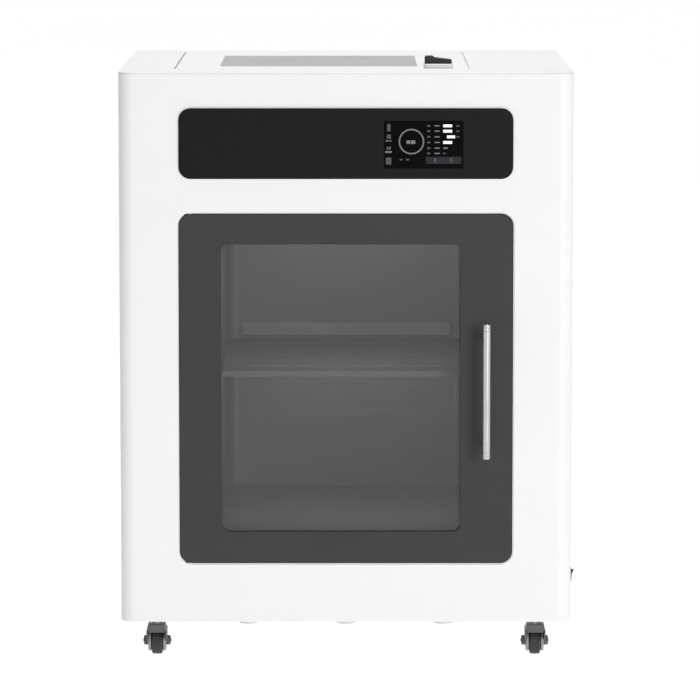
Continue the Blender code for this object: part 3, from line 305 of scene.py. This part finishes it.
def turned(profile, place, axis=(0, 0, 1), steps=64, closed=False):
    """(radius, along) points swept about an axis through a place."""
    shape = bmesh.new()
    points = [shape.verts.new((radius, 0.0, along)) for radius, along in profile]
    pairs = list(zip(points, points[1:]))
    if closed:
        pairs.append((points[-1], points[0]))
    lines = [shape.edges.new(pair) for pair in pairs]
    bmesh.ops.spin(
        shape, geom=points + lines, cent=(0, 0, 0), axis=(0, 0, 1), angle=math.tau, steps=steps
    )
    bmesh.ops.remove_doubles(shape, verts=shape.verts, dist=0.000002)
    shape.transform(Matrix.Translation(place) @ facing(axis))
    return shape


# Turn an outline drawn in X and Y to face the front, the top or the side.
SLAB_FRAMES = {
    "front": Matrix(((1, 0, 0), (0, 0, -1), (0, 1, 0))),
    "top": Matrix.Identity(3),
    "side": Matrix(((0, 0, 1), (1, 0, 0), (0, 1, 0))),
}


def slab(outlines, span, side, rounding=0.0, segments=2):
    """Closed outlines seen from one side, filled over the span, with rounded edges."""
    curve = bpy.data.curves.new("outline", "CURVE")
    curve.dimensions = "2D"
    curve.fill_mode = "BOTH"
    curve.extrude = abs(span[1] - span[0]) / 2 - rounding
    curve.bevel_depth = rounding
    curve.offset = -rounding
    curve.bevel_resolution = segments
    for outline in outlines:
        spline = curve.splines.new("POLY")
        spline.points.add(len(outline) - 1)
        for point, (u, v) in zip(spline.points, outline):
            point.co = (u, v, 0.0, 1.0)
        spline.use_cyclic_u = True
    drawn = bpy.data.objects.new("outline", curve)
    bpy.context.scene.collection.objects.link(drawn)
    graph = bpy.context.evaluated_depsgraph_get()
    mesh = bpy.data.meshes.new_from_object(drawn.evaluated_get(graph))
    bpy.data.objects.remove(drawn)
    shape = bmesh.new()
    shape.from_mesh(mesh)
    bpy.data.meshes.remove(mesh)
    bmesh.ops.remove_doubles(shape, verts=shape.verts, dist=0.000005)
    middle = (span[0] + span[1]) / 2
    place = {"front": (0, middle, 0), "top": (0, 0, middle), "side": (middle, 0, 0)}[side]
    shape.transform(Matrix.Translation(place) @ SLAB_FRAMES[side].to_4x4())
    return shape


def brick(low, high, rounding=0.0005):
    """A box between two corners with rounded edges."""
    size = Vector(high) - Vector(low)
    middle = (Vector(high) + Vector(low)) / 2
    shape = bmesh.new()
    matrix = Matrix.Translation(middle) @ Matrix.Diagonal((*size, 1.0))
    bmesh.ops.create_cube(shape, size=1.0, matrix=matrix)
    bmesh.ops.bevel(
        shape, geom=shape.edges[:], offset=rounding, segments=2, profile=0.5,
        affect="EDGES", clamp_overlap=True,
    )
    return shape


def hexagon(place, axis, radius, height, chamfer=0.0004):
    """A hexagonal bolt head or nut, standing on its place, with its corners turned off."""
    shape = bmesh.new()
    bmesh.ops.create_cone(
        shape, cap_ends=True, segments=6, radius1=radius, radius2=radius, depth=height,
        matrix=Matrix.Translation((0, 0, height / 2)),
    )
    bmesh.ops.bevel(
        shape, geom=shape.edges[:], offset=chamfer, segments=2, profile=0.5, affect="EDGES"
    )
    shape.transform(Matrix.Translation(place) @ facing(axis))
    return shape


def screw_head(place, axis, radius=0.0036, height=0.0021):
    """Hexagonal head on its own round flange, standing on its place."""
    sunk, rim, crown = -0.0003, 0.0003, 0.0007
    flange = [(0.0, sunk), (radius, sunk), (radius, rim), (0.8 * radius, crown), (0.0, crown)]
    foot = 0.0005
    head = hexagon((0.0, 0.0, foot), (0, 0, 1), 0.66 * radius, height - foot, 0.0002)
    head.transform(Matrix.Translation(place) @ facing(axis))
    return gather([turned(flange, place, axis, 24), head])


def gather(shapes):
    """One bmesh with all the shapes."""
    whole = bmesh.new()
    for shape in shapes:
        mesh = bpy.data.meshes.new("shape")
        shape.to_mesh(mesh)
        shape.free()
        whole.from_mesh(mesh)
        bpy.data.meshes.remove(mesh)
    return whole


def piece(name, look, body, shapes, replaces=(), angle=35):
    """A visible piece made of closed shapes, riding on a CAD body."""
    whole = gather(shapes)
    bmesh.ops.recalc_face_normals(whole, faces=whole.faces)
    mesh = bpy.data.meshes.new(name)
    whole.to_mesh(mesh)
    whole.free()
    mesh.shade_smooth()
    mesh.set_sharp_from_angle(angle=math.radians(angle))
    mesh.materials.append(LOOKS[look])
    made = bpy.data.objects.new(name, mesh)
    bpy.context.scene.collection.objects.link(made)
    made.modifiers.new("normals", "WEIGHTED_NORMAL").keep_sharp = True
    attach(made, body)
    if replaces:
        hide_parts(*replaces)


# ---- rounded copies of the CAD's sheet-metal and moulded parts ----------------------------

ROUNDINGS = {
    "front_panel": 0.0006,
    "side_panel_left": 0.0005,
    "side_panel_right": 0.0005,
    "rear_panel": 0.0004,
    "top_panel": 0.0007,
    "base_pan": 0.0004,
    "chamber_liner": 0.0005,
    "shelf_rail_left": 0.0003,
    "shelf_rail_right": 0.0003,
    "fascia_panel": 0.0004,
    "display_module": 0.0002,
    "switch_bezel": 0.0002,
    "power_rocker": 0.0005,
    "door_frame": 0.0009,
    "door_backing": 0.0004,
    "door_catch": 0.0004,
    "door_gasket": 0.0012,
    "lid_panel": 0.0003,
    "lid_window": 0.0004,
    "lid_gasket": 0.0012,
    "base_pad_strip": 0.0004,
    "vent_collar": 0.0004,
    "humidity_sensor": 0.0004,
    "circulation_fan_frame": 0.0006,
    "circulation_fan_rotor": 0.0004,
    "latch_cam": 0.0004,
    "door_bracket_top": 0.0006,
    "door_bracket_bottom": 0.0006,
    "lid_bracket_front": 0.0006,
    "lid_bracket_back": 0.0006,
}


def rounded_copy(node, width, look=None):
    """A copy of a CAD part with its sharp edges rounded, which stands for it."""
    source = frame["nodes"][node]
    shape = bmesh.new()
    shape.from_mesh(source.data)
    bmesh.ops.remove_doubles(shape, verts=shape.verts, dist=0.00001)
    bmesh.ops.dissolve_limit(
        shape, angle_limit=math.radians(0.5), verts=shape.verts, edges=shape.edges
    )
    sharp = [edge for edge in shape.edges if edge.calc_face_angle(0.0) > math.radians(30)]
    bmesh.ops.bevel(
        shape, geom=sharp, offset=width, segments=2, profile=0.5, affect="EDGES",
        clamp_overlap=True,
    )
    piece(
        node + "_finish", look or SLOTS[node], source["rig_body"], [shape], [node],
        angle=40,
    )


def make_rounded_copies():
    """Every plain part that only needs its edges rounded."""
    for node, width in ROUNDINGS.items():
        rounded_copy(node, width)


def make_shelf():
    """The shelf in its darker steel, with painted highlights: bright strips on the front lip and
    the back stop.
    """
    rounded_copy("shelf", 0.0004, "shelf_steel")
    low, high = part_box("shelf")
    proud, sunk, rounding = 0.0006, 0.0002, 0.0002
    deck = low.z + 0.0090
    inset = 0.0025
    # The lip strip carries a painted highlight along the shelf's front edge.
    lip = brick(
        (low.x + inset, low.y - proud, low.z), (high.x - inset, low.y + sunk, deck), rounding
    )
    # The stop strip carries a painted highlight on the back stop's face.
    stop_face = high.y - 0.0016
    inset = 0.0225
    stop = brick(
        (low.x + inset, stop_face - proud, deck + 0.0060),
        (high.x - inset, stop_face + sunk, high.z - 0.0004), rounding,
    )
    piece("shelf_lip_painted_highlight", "lip_painted_highlight", "shelf", [lip])
    piece("shelf_stop_painted_highlight", "stop_painted_highlight", "shelf", [stop])


def dress_cad_nodes():
    """Give every CAD node that stays in view its finish."""
    for name, node in frame["nodes"].items():
        node.data.materials.clear()
        node.data.materials.append(LOOKS[SLOTS[name]])


# ---- door handle --------------------------------------------------------------------------


def make_handle():
    """Pull bar with turned rings near its ends, on two waisted posts."""
    low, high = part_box("handle_bar")
    middle = (low + high) / 2
    radius, half = (high.x - low.x) / 2, (high.z - low.z) / 2
    edge = 0.0012
    groove_depth, groove_mouth, groove_floor = 0.00035, 0.0006, 0.0003
    end = [(0.0, half)]
    end += arc((radius - edge, half - edge), edge, 90, 0, 5)
    for inset in (0.0055, 0.0110):
        end += [
            (radius, half - inset + groove_mouth),
            (radius - groove_depth, half - inset + groove_floor),
            (radius - groove_depth, half - inset - groove_floor),
            (radius, half - inset - groove_mouth),
        ]
    profile = end + [(r, -along) for r, along in end[::-1]]
    piece("pull_bar", "brushed_aluminium", "door", [turned(profile, middle)], ["handle_bar"])
    neck, foot, seam = 0.0042, 0.0058, 0.0003
    for node in ("handle_post_top", "handle_post_bottom"):
        low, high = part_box(node)
        length = FRONT - seam - low.y
        place = Vector(((low.x + high.x) / 2, low.y, (low.z + high.z) / 2))
        post = [(0.0, 0.0), (foot - 0.001, 0.0), (foot - 0.0006, 0.0015)]
        post += [(neck, 0.0045), (neck, length - 0.0060), (foot, length - 0.0030)]
        post += [(foot, length - 0.0004), (foot - 0.0004, length), (0.0, length)]
        name = node.replace("handle_post", "pull_bar_post")
        piece(name, "brushed_aluminium", "door", [turned(post, place, (0, 1, 0), 48)], [node])


def make_door_seal():
    """Pale seal in the front panel's recess, which leaves a narrow seam round the door."""
    low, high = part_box("door_frame")
    middle = (low.z + high.z) / 2
    pivot_x = JOINTS["door_hinge"]["pos_m"][0]
    corner, seam, reach, relief_gap = 0.019, 0.0009, 0.0032, 0.00025

    def outline(gap):
        """The door's outline grown by a gap."""
        left, right, under, over = low.x - gap, high.x + gap, low.z - gap, high.z + gap
        return round_rectangle(left, right, under, over, corner + gap, 24)

    inner = []
    for u, v in outline(seam):
        if pivot_x - 0.0095 < u < pivot_x + 0.0010:
            # The opening door's edge passes here, so the seal keeps above and below it.
            v = max(v, high.z + relief_gap) if v > middle else min(v, low.z - relief_gap)
        inner.append((u, v))
    ring = slab([outline(reach), inner], (FRONT + 0.0010, FRONT + 0.0050), "front", 0.0002, 2)
    piece("door_recess_seal", "pale_seal", "cabinet", [ring])


# ---- display ------------------------------------------------------------------------------


def make_display():
    """Generic read-outs on the screen: icons, a dial ring, value bars and a foot strip."""
    low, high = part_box("display_module")
    wide, tall = high.x - low.x, high.z - low.z
    face = low.y - 0.00002
    depth = (face - 0.00005, face)
    shift_u, shift_v = 0.007, 0.015

    def place(u, v):
        """A point on the screen from its shares of the width and of the height downward."""
        return low.x + (u - shift_u) * wide, high.z - (v - shift_v) * tall

    def block(left, right, upper, lower, radius=0.0003):
        """A small rounded block in shares of the screen."""
        x0, z1 = place(left, upper)
        x1, z0 = place(right, lower)
        return slab([round_rectangle(x0, x1, z0, z1, radius, 3)], depth, "front")

    rows = [0.117, 0.230, 0.350, 0.469, 0.589, 0.702]
    bright = [block(0.755, 0.868, v - 0.030, v + 0.030) for v in (rows[0], rows[1], rows[3])]
    bright.append(block(0.803, 0.905, rows[2] - 0.030, rows[2] + 0.030))
    piece("screen_value_bars", "mark_bright", "cabinet", bright)

    grey = [block(0.645, 0.712, v - 0.012, v + 0.012) for v in rows]
    grey += [block(0.755, 0.815, rows[4] - 0.014, rows[4] + 0.014)]
    grey += [block(0.022, 0.105, 0.428, 0.446), block(0.022, 0.105, 0.652, 0.690)]
    grey += [block(0.292, 0.340, 0.425, 0.500), block(0.348, 0.402, 0.425, 0.500)]
    centre = place(0.354, 0.451)
    steps = 72
    ring = [arc(centre, r, 0, 360 - 360 / steps, steps - 1) for r in (0.0205, 0.0182)]
    grey.append(slab(ring, depth, "front"))
    piece("screen_dial", "mark_grey", "cabinet", grey)

    dim = [block(0.552, 0.592, v - 0.020, v + 0.020, 0.0006) for v in rows]
    dim += [block(0.920, 0.960, v - 0.016, v + 0.016) for v in rows[:3]]
    dim += [block(0.755, 0.790, rows[5] - 0.014, rows[5] + 0.014)]
    dim += [block(0.045, 0.090, 0.075, 0.235, 0.001), block(0.040, 0.095, 0.300, 0.395, 0.001)]
    dim += [block(0.040, 0.095, 0.560, 0.620, 0.001), block(0.030, 0.100, 0.790, 0.940, 0.001)]
    dim += [block(0.205, 0.240, 0.815, 0.850), block(0.285, 0.325, 0.815, 0.850)]
    dim += [block(0.640, 0.665, 0.800, 0.900, 0.001), block(0.845, 0.872, 0.800, 0.900, 0.001)]
    piece("screen_icons", "mark_dim", "cabinet", dim)

    strip = block(0.535, 0.985, 0.775, 0.925, 0.001)
    strip.transform(Matrix.Translation((0, 0.00003, 0)))
    piece("screen_foot_strip", "screen_strip", "cabinet", [strip])


# ---- lid's seal and latch -----------------------------------------------------------------


def make_lid_trim():
    """Pale seal round the lid's edge, which fills most of the seam; it is slimmer at the hinge."""
    low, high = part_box("lid_panel")
    at_hinge, at_latch, at_ends, lap = 0.0022, 0.0034, 0.0032, 0.0006
    outer = round_rectangle(
        low.x - at_hinge, high.x + at_latch, low.y - at_ends, high.y + at_ends, 0.005, 4
    )
    inner = round_rectangle(low.x + lap, high.x - lap, low.y + lap, high.y - lap, 0.004, 4)
    ring = slab([outer, inner], (high.z - 0.0046, high.z - 0.0006), "top", 0.0004, 2)
    piece("lid_edge_seal", "pale_seal", "lid", [ring])


def make_latch():
    """Turn latch: round-edged base, and a lever with a raised thumb end over its spindle."""
    x, y, _ = JOINTS["latch_turn"]["pos_m"]
    low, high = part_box("latch_plate")
    outer = round_rectangle(low.x, high.x, low.y, high.y, 0.010, 8)
    bore = arc((x, y), 0.0053, 0, 345, 23)
    base = slab([outer, bore], (low.z, high.z), "top", 0.0018, 4)
    piece("latch_base", "light_plastic", "lid", [base], ["latch_plate"])

    lever_low, lever_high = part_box("latch_lever")
    left, right = lever_low.x, lever_high.x
    bottom, deck, crest = high.z + 0.0003, high.z + 0.0098, lever_high.z
    tip = deck - 0.0030
    side = [(left, bottom), (right, bottom)]
    side += arc((right - 0.002, tip - 0.002), 0.002, 0, 75, 5)
    side += [(left + 0.0165, deck), (left + 0.0125, crest - 0.0004)]
    side += arc((left + 0.003, crest - 0.0034), 0.003, 90, 180, 5)
    grip = slab([side], (lever_low.y, lever_high.y), "front", 0.0016, 3)
    stem_radius, stem_top, stem_foot = 0.0046, bottom + 0.002, lever_low.z
    stem = [(0.0, stem_top), (stem_radius, stem_top), (stem_radius, stem_foot), (0.0, stem_foot)]
    spindle = turned(stem, (x, y, 0), steps=32)
    ribs = []
    half_rib, pitch, margin = 0.0005, 0.0025, 0.004
    for i in range(4):
        middle = left + 0.0045 + pitch * i
        corner = (middle - half_rib, lever_low.y + margin, crest - 0.0009)
        ribs.append(brick(corner, (middle + half_rib, lever_high.y - margin, crest), 0.0002))
    piece("latch_grip", "black_plastic", "latch", [grip, spindle, *ribs], ["latch_lever"])


# ---- casters ------------------------------------------------------------------------------


PLATE_THICKNESS = 0.0026
BOLTS_ACROSS, BOLTS_ALONG = 0.023, 0.016
CROWN_THICKNESS = 0.0025
CHEEK_INSIDE, CHEEK_THICKNESS, CHEEK_FLARE = 0.0121, 0.0019, 0.0026
# The fork's front and back edges, from the swivel's axis.
FORK_FRONT, FORK_BACK = 0.0160, 0.0270
NUT_SEAT = 0.0165
BALLS = 12


def make_caster_plate(corner):
    """Mounting plate with its bolts, washers, bearing cup and kingpin."""
    x, y, _ = JOINTS["swivel_" + corner]["pos_m"]
    low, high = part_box("caster_plate_" + corner)
    outline = round_rectangle(low.x, high.x, low.y, high.y, 0.005)
    under = high.z - PLATE_THICKNESS
    shapes = [slab([outline], (under, high.z), "top", 0.0006, 2)]
    washer = [(0.0, 0.0002), (0.0066, 0.0002), (0.0066, -0.0008), (0.0, -0.0008)]
    shank = [(0.0, 0.0090), (0.0022, 0.0090), (0.0028, 0.0084), (0.0028, 0.0), (0.0, 0.0)]
    for across in (-BOLTS_ACROSS, BOLTS_ACROSS):
        for along in (-BOLTS_ALONG, BOLTS_ALONG):
            bolt = (x + across, y + along, under)
            shapes.append(turned(washer, bolt, steps=32))
            seat = (bolt[0], bolt[1], under - 0.0007)
            shapes.append(hexagon(seat, (0, 0, -1), 0.0056, 0.0032))
            shapes.append(turned(shank, bolt, steps=24))
    cup = [(0.0, under + 0.001), (0.0130, under + 0.001), (0.0124, under - 0.0008)]
    cup += [(0.0118, under - 0.0016), (0.0118, under - 0.0046), (0.0, under - 0.0046)]
    shapes.append(turned(cup, (x, y, 0), steps=48))
    pin = [(0.0, under), (0.0042, under), (0.0042, low.z), (0.0, low.z)]
    shapes.append(turned(pin, (x, y, 0), steps=24))
    node = "caster_plate_" + corner
    piece("caster_mount_" + corner, "caster_zinc", "cabinet", shapes, [node])


def splayed_cheek(x, side, outline):
    """One cheek of the fork, pressed outward towards the axle."""
    inner = x + side * CHEEK_INSIDE
    cheek = slab([outline], sorted((inner, inner + side * CHEEK_THICKNESS)), "side", 0.0005, 2)
    top = max(point[1] for point in outline)
    start, end, cuts = top - 0.0055, top - 0.0105, 6
    for i in range(cuts + 1):
        level = start + (end - start) * i / cuts
        geometry = cheek.verts[:] + cheek.edges[:] + cheek.faces[:]
        bmesh.ops.bisect_plane(cheek, geom=geometry, plane_co=(0, 0, level), plane_no=(0, 0, 1))
    for point in cheek.verts:
        share = min(max((start - point.co.z) / (start - end), 0.0), 1.0)
        point.co.x += side * CHEEK_FLARE * share * share * (3 - 2 * share)
    return cheek


def make_caster_fork(corner):
    """Pressed fork: bearing crown, two splayed cheeks, and the axle bolt with its nut."""
    body = "caster_" + corner
    x, y, _ = JOINTS["swivel_" + corner]["pos_m"]
    _, hub_y, hub_z = JOINTS["roll_" + corner]["pos_m"]
    _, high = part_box("caster_fork_" + corner)
    crown_top, crown_under = high.z, high.z - CROWN_THICKNESS
    bend = 0.003
    outline = arc((hub_y, hub_z), 0.0078, 210, 350, 10)
    outline += [(hub_y + 0.0100, hub_z + 0.012), (y + FORK_BACK, crown_under - 0.0015)]
    outline += arc((y + FORK_BACK - bend, crown_top - bend), bend, 0, 90, 3)
    outline += arc((y - FORK_FRONT + bend, crown_top - bend), bend, 90, 180, 3)
    outline += [(y - FORK_FRONT, crown_top - 0.014), (y - 0.0110, crown_top - 0.0190)]
    cheeks = [splayed_cheek(x, side, outline) for side in (-1, 1)]
    bore = arc((x, y), 0.0048, 0, 345, 23)
    bridge = round_rectangle(x - 0.0132, x + 0.0132, y - 0.0155, y + 0.0262, bend, 4)
    shapes = [*cheeks, slab([bridge, bore], (crown_under, crown_top), "top", 0.0006, 2)]
    half, over, below = 0.0135, crown_top - 0.0002, crown_top - 0.0130
    skirt = round_rectangle(x - half, x + half, below, over, 0.0015, 3)
    shapes.append(slab([skirt], (y - FORK_FRONT, y - 0.0142), "front", 0.0005, 2))
    washer = [(0.0, 0.0), (0.0084, 0.0), (0.0084, 0.0010), (0.0, 0.0010)]
    for side in (-1, 1):
        face = x + side * NUT_SEAT
        shapes.append(turned(washer, (face, hub_y, hub_z), (side, 0, 0), 32))
        seat = (face + side * 0.0009, hub_y, hub_z)
        shapes.append(hexagon(seat, (side, 0, 0), 0.0080, 0.0044))
    axle = [(0.0, -0.0229), (0.0026, -0.0229), (0.0030, -0.0225)]
    axle += [(r, -along) for r, along in axle[::-1]]
    shapes.append(turned(axle, (x, hub_y, hub_z), (1, 0, 0), 32))
    node = "caster_fork_" + corner
    piece("caster_yoke_" + corner, "caster_grey", body, shapes, [node])
    make_caster_balls(corner, x, y, crown_top + 0.0006)


def make_caster_balls(corner, x, y, z):
    """Ring of bearing balls between the fork's crown and the plate's cup."""
    half_circle = [(abs(r), along) for r, along in arc((0.0, 0.0), 0.0011, 90, -90, 8)]
    ring = arc((x, y), 0.0104, 0, 360 - 360 / BALLS, BALLS - 1)
    balls = [turned(half_circle, (u, v, z), steps=12) for u, v in ring]
    piece("caster_balls_" + corner, "zinc_steel", "caster_" + corner, balls)


def mirrored(profile):
    """A half section and its mirror image as one closed (radius, along) section."""
    return profile + [(radius, -along) for radius, along in profile[::-1]]


def make_caster_wheel(corner):
    """Tyre with a rounded tread on a plastic core, between two thread guards."""
    body = "wheel_" + corner
    node = "caster_wheel_" + corner
    centre = JOINTS["roll_" + corner]["pos_m"]
    low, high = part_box(node)
    radius, half = (high.z - low.z) / 2, 0.0088
    tread = [(radius - 0.0066, half - 0.0012), (radius - 0.0058, half - 0.0002)]
    tread += [(radius - 0.0046, half)]
    tread += arc((radius - 0.0040, half - 0.0040), 0.0040, 75, 12, 8)
    tread += [(radius - 0.0005, 0.0030), (radius - 0.0001, 0.0027), (radius, 0.0010)]
    tyre = turned(mirrored(tread), centre, (1, 0, 0), 72, True)
    piece("caster_tyre_" + corner, "black_tyre", body, [tyre], [node])
    core = [(0.0037, 0.0092), (0.0066, 0.0092), (0.0072, 0.0086), (0.0078, 0.0040)]
    core += [(0.0140, 0.0032), (0.0146, 0.0074), (radius - 0.0067, 0.0074)]
    hub = turned(mirrored(core), centre, (1, 0, 0), 64, True)
    piece("caster_hub_" + corner, "caster_grey", body, [hub])
    disc = [(0.0038, 0.0096), (0.0168, 0.0096), (0.0175, 0.0104), (0.0175, 0.0134)]
    disc += [(0.0166, 0.0144), (0.0150, 0.0144), (0.0138, 0.0130), (0.0084, 0.0124)]
    disc += [(0.0072, 0.0143), (0.0038, 0.0143)]
    guards = [turned(disc, centre, (side, 0, 0), 64, True) for side in (-1, 1)]
    piece("caster_guards_" + corner, "guard_grey", body, guards)


def make_casters():
    """The four casters."""
    for corner in CORNERS:
        make_caster_plate(corner)
        make_caster_fork(corner)
        make_caster_wheel(corner)


# ---- back of the cabinet ------------------------------------------------------------------


def make_rear_screws():
    """Hexagonal screws that hold the rear sheet to the side panels' flanges."""
    low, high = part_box("rear_panel")
    inset, first, pitch = 0.009, 0.045, 0.200
    heads = []
    for x in (low.x + inset, high.x - inset):
        for i in range(5):
            place = (x, BACK + 0.0001, UNDERSIDE + first + pitch * i)
            heads.append(screw_head(place, (0, 1, 0)))
    piece("rear_panel_screws", "zinc_steel", "cabinet", heads)


def make_vent():
    """Exhaust shutter with a knurled knob."""
    x, _, z = JOINTS["vent_turn"]["pos_m"]
    _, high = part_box("vent_disc")
    face, foot = high.y, high.y - 0.0050
    knob = [(0.0, face), (0.0058, face), (0.0066, face - 0.0006), (0.0072, foot), (0.0, foot)]
    ribs, count = [], 16
    for i in range(count):
        rib = brick((0.0062, foot - 0.0002, -0.0005), (0.0076, face - 0.0008, 0.0005), 0.0002)
        turn = Matrix.Rotation(math.tau * i / count, 4, "Y")
        rib.transform(Matrix.Translation((x, 0, z)) @ turn)
        ribs.append(rib)
    shapes = [turned(knob, (x, 0, z), (0, 1, 0), 48), *ribs]
    piece("vent_knob", "light_plastic", "vent_shutter", shapes)
    rounded_copy("vent_disc", 0.0003)


def make_inlet():
    """Appliance inlet with its two fixing screws."""
    rounded_copy("mains_inlet", 0.0003)
    low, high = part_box("mains_inlet")
    middle = (low + high) / 2
    heads, spacing = [], 0.0390
    for side in (-1, 1):
        place = (middle.x + side * spacing / 2, high.y - 0.0002, middle.z)
        heads.append(screw_head(place, (0, 1, 0), 0.0026, 0.0012))
    piece("inlet_screws", "zinc_steel", "cabinet", heads)


# ---- chamber ------------------------------------------------------------------------------


def make_chamber_fittings():
    """Lamp housing and clips at the ceiling, and the screws of the shelf rails."""
    low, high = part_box("chamber_lamp")
    rounded_copy("chamber_lamp", 0.0008)
    clips = []
    inset, half, thick, foot = 0.020, 0.004, 0.0012, low.z - 0.0006
    for x in (low.x + inset, high.x - inset):
        clips.append(brick((x - half, low.y - thick, foot), (x + half, low.y, high.z)))
        clips.append(brick((x - half, high.y, foot), (x + half, high.y + thick, high.z)))
    piece("lamp_clips", "zinc_steel", "cabinet", clips)
    screws = []
    for node, side in (("shelf_rail_left", 1), ("shelf_rail_right", -1)):
        low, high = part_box(node)
        wall = low.x if side > 0 else high.x
        for share in (0.1, 0.5, 0.9):
            y = low.y + share * (high.y - low.y)
            place = (wall + side * 0.0016, y, (low.z + high.z) / 2 - 0.002)
            screws.append(screw_head(place, (side, 0, 0), 0.0028, 0.0014))
    piece("rail_screws", "zinc_steel", "cabinet", screws)


# ---- stage --------------------------------------------------------------------------------


FLOOR_REACH = 60.0
FLOOR_GLOW = 0.94
WORLD_GLOW = 0.16


def make_floor():
    """A wide pale floor."""
    shape = bmesh.new()
    bmesh.ops.create_grid(shape, x_segments=1, y_segments=1, size=FLOOR_REACH)
    mesh = bpy.data.meshes.new("studio_floor")
    shape.to_mesh(mesh)
    shape.free()
    look = new_material(
        "studio_floor", 0.9, Specular_IOR_Level=0.0, Emission_Color=WHITE,
        Emission_Strength=FLOOR_GLOW,
    )
    tint(look, grain(look, 0.4), (0.34, 0.34, 0.34), (0.36, 0.36, 0.36))
    mesh.materials.append(look)
    floor = bpy.data.objects.new("studio_floor", mesh)
    bpy.context.scene.collection.objects.link(floor)


def area_light(name, place, target, size, watts):
    """A soft white rectangular light aimed at a point."""
    data = bpy.data.lights.new(name, "AREA")
    data.shape = "RECTANGLE"
    data.size, data.size_y = size
    data.energy = watts
    lamp = bpy.data.objects.new(name, data)
    lamp.location = place
    lamp.rotation_euler = (Vector(target) - Vector(place)).to_track_quat("-Z", "Y").to_euler()
    bpy.context.scene.collection.objects.link(lamp)


def make_lights():
    """Even surroundings, a soft key from the right, one overhead, and the chamber's own lights."""
    world = bpy.data.worlds.new("studio")
    bpy.context.scene.world = world
    world.use_nodes = True
    background = world.node_tree.nodes["Background"]
    background.inputs["Color"].default_value = WHITE
    background.inputs["Strength"].default_value = WORLD_GLOW
    middle = (0.0, 0.0, 0.5)
    area_light("key", (4.5, -7.9, 1.8), middle, size=(3.4, 3.4), watts=336.0)
    area_light("overhead", (0.0, 0.1, 4.0), middle, size=(1.6, 1.6), watts=101.0)
    low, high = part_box("chamber_lamp")
    lamp = Vector(((low.x + high.x) / 2, high.y + 0.004, low.z - 0.004))
    target = lamp + Vector((0.0, 0.25, -0.20))
    area_light("upper_chamber", lamp, target, size=(0.28, 0.01), watts=0.70)
    shelf_low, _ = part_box("shelf")
    lamp = Vector((0.0, shelf_low.y - 0.002, shelf_low.z - 0.006))
    target = lamp + Vector((0.0, 0.25, -0.12))
    area_light("lower_chamber", lamp, target, size=(0.34, 0.008), watts=0.58)


# The camera's place from the middle of the cabinet's front and above its underside, in metres,
# its tilt downward in degrees and its lens in millimetres.
CAMERA_SIDE = 0.0066
CAMERA_DISTANCE = 7.194
CAMERA_HEIGHT = 1.304
CAMERA_TILT = 6.82
CAMERA_LENS = 231.6


def make_camera():
    """A long lens a little above the cabinet, square to its front."""
    data = bpy.data.cameras.new("camera")
    data.lens = CAMERA_LENS
    data.sensor_width = 36.0
    data.clip_end = 200.0
    camera = bpy.data.objects.new("camera", data)
    camera.location = (CAMERA_SIDE, FRONT - CAMERA_DISTANCE, UNDERSIDE + CAMERA_HEIGHT)
    camera.rotation_euler = (math.radians(90.0 - CAMERA_TILT), 0.0, 0.0)
    bpy.context.scene.collection.objects.link(camera)
    bpy.context.scene.camera = camera
    bpy.context.scene.view_settings.view_transform = "Standard"


make_camera()
make_lights()
make_floor()
dress_cad_nodes()
make_rounded_copies()
make_shelf()
make_lid_trim()
make_handle()
make_door_seal()
make_display()
make_latch()
make_casters()
make_rear_screws()
make_vent()
make_inlet()
make_chamber_fittings()
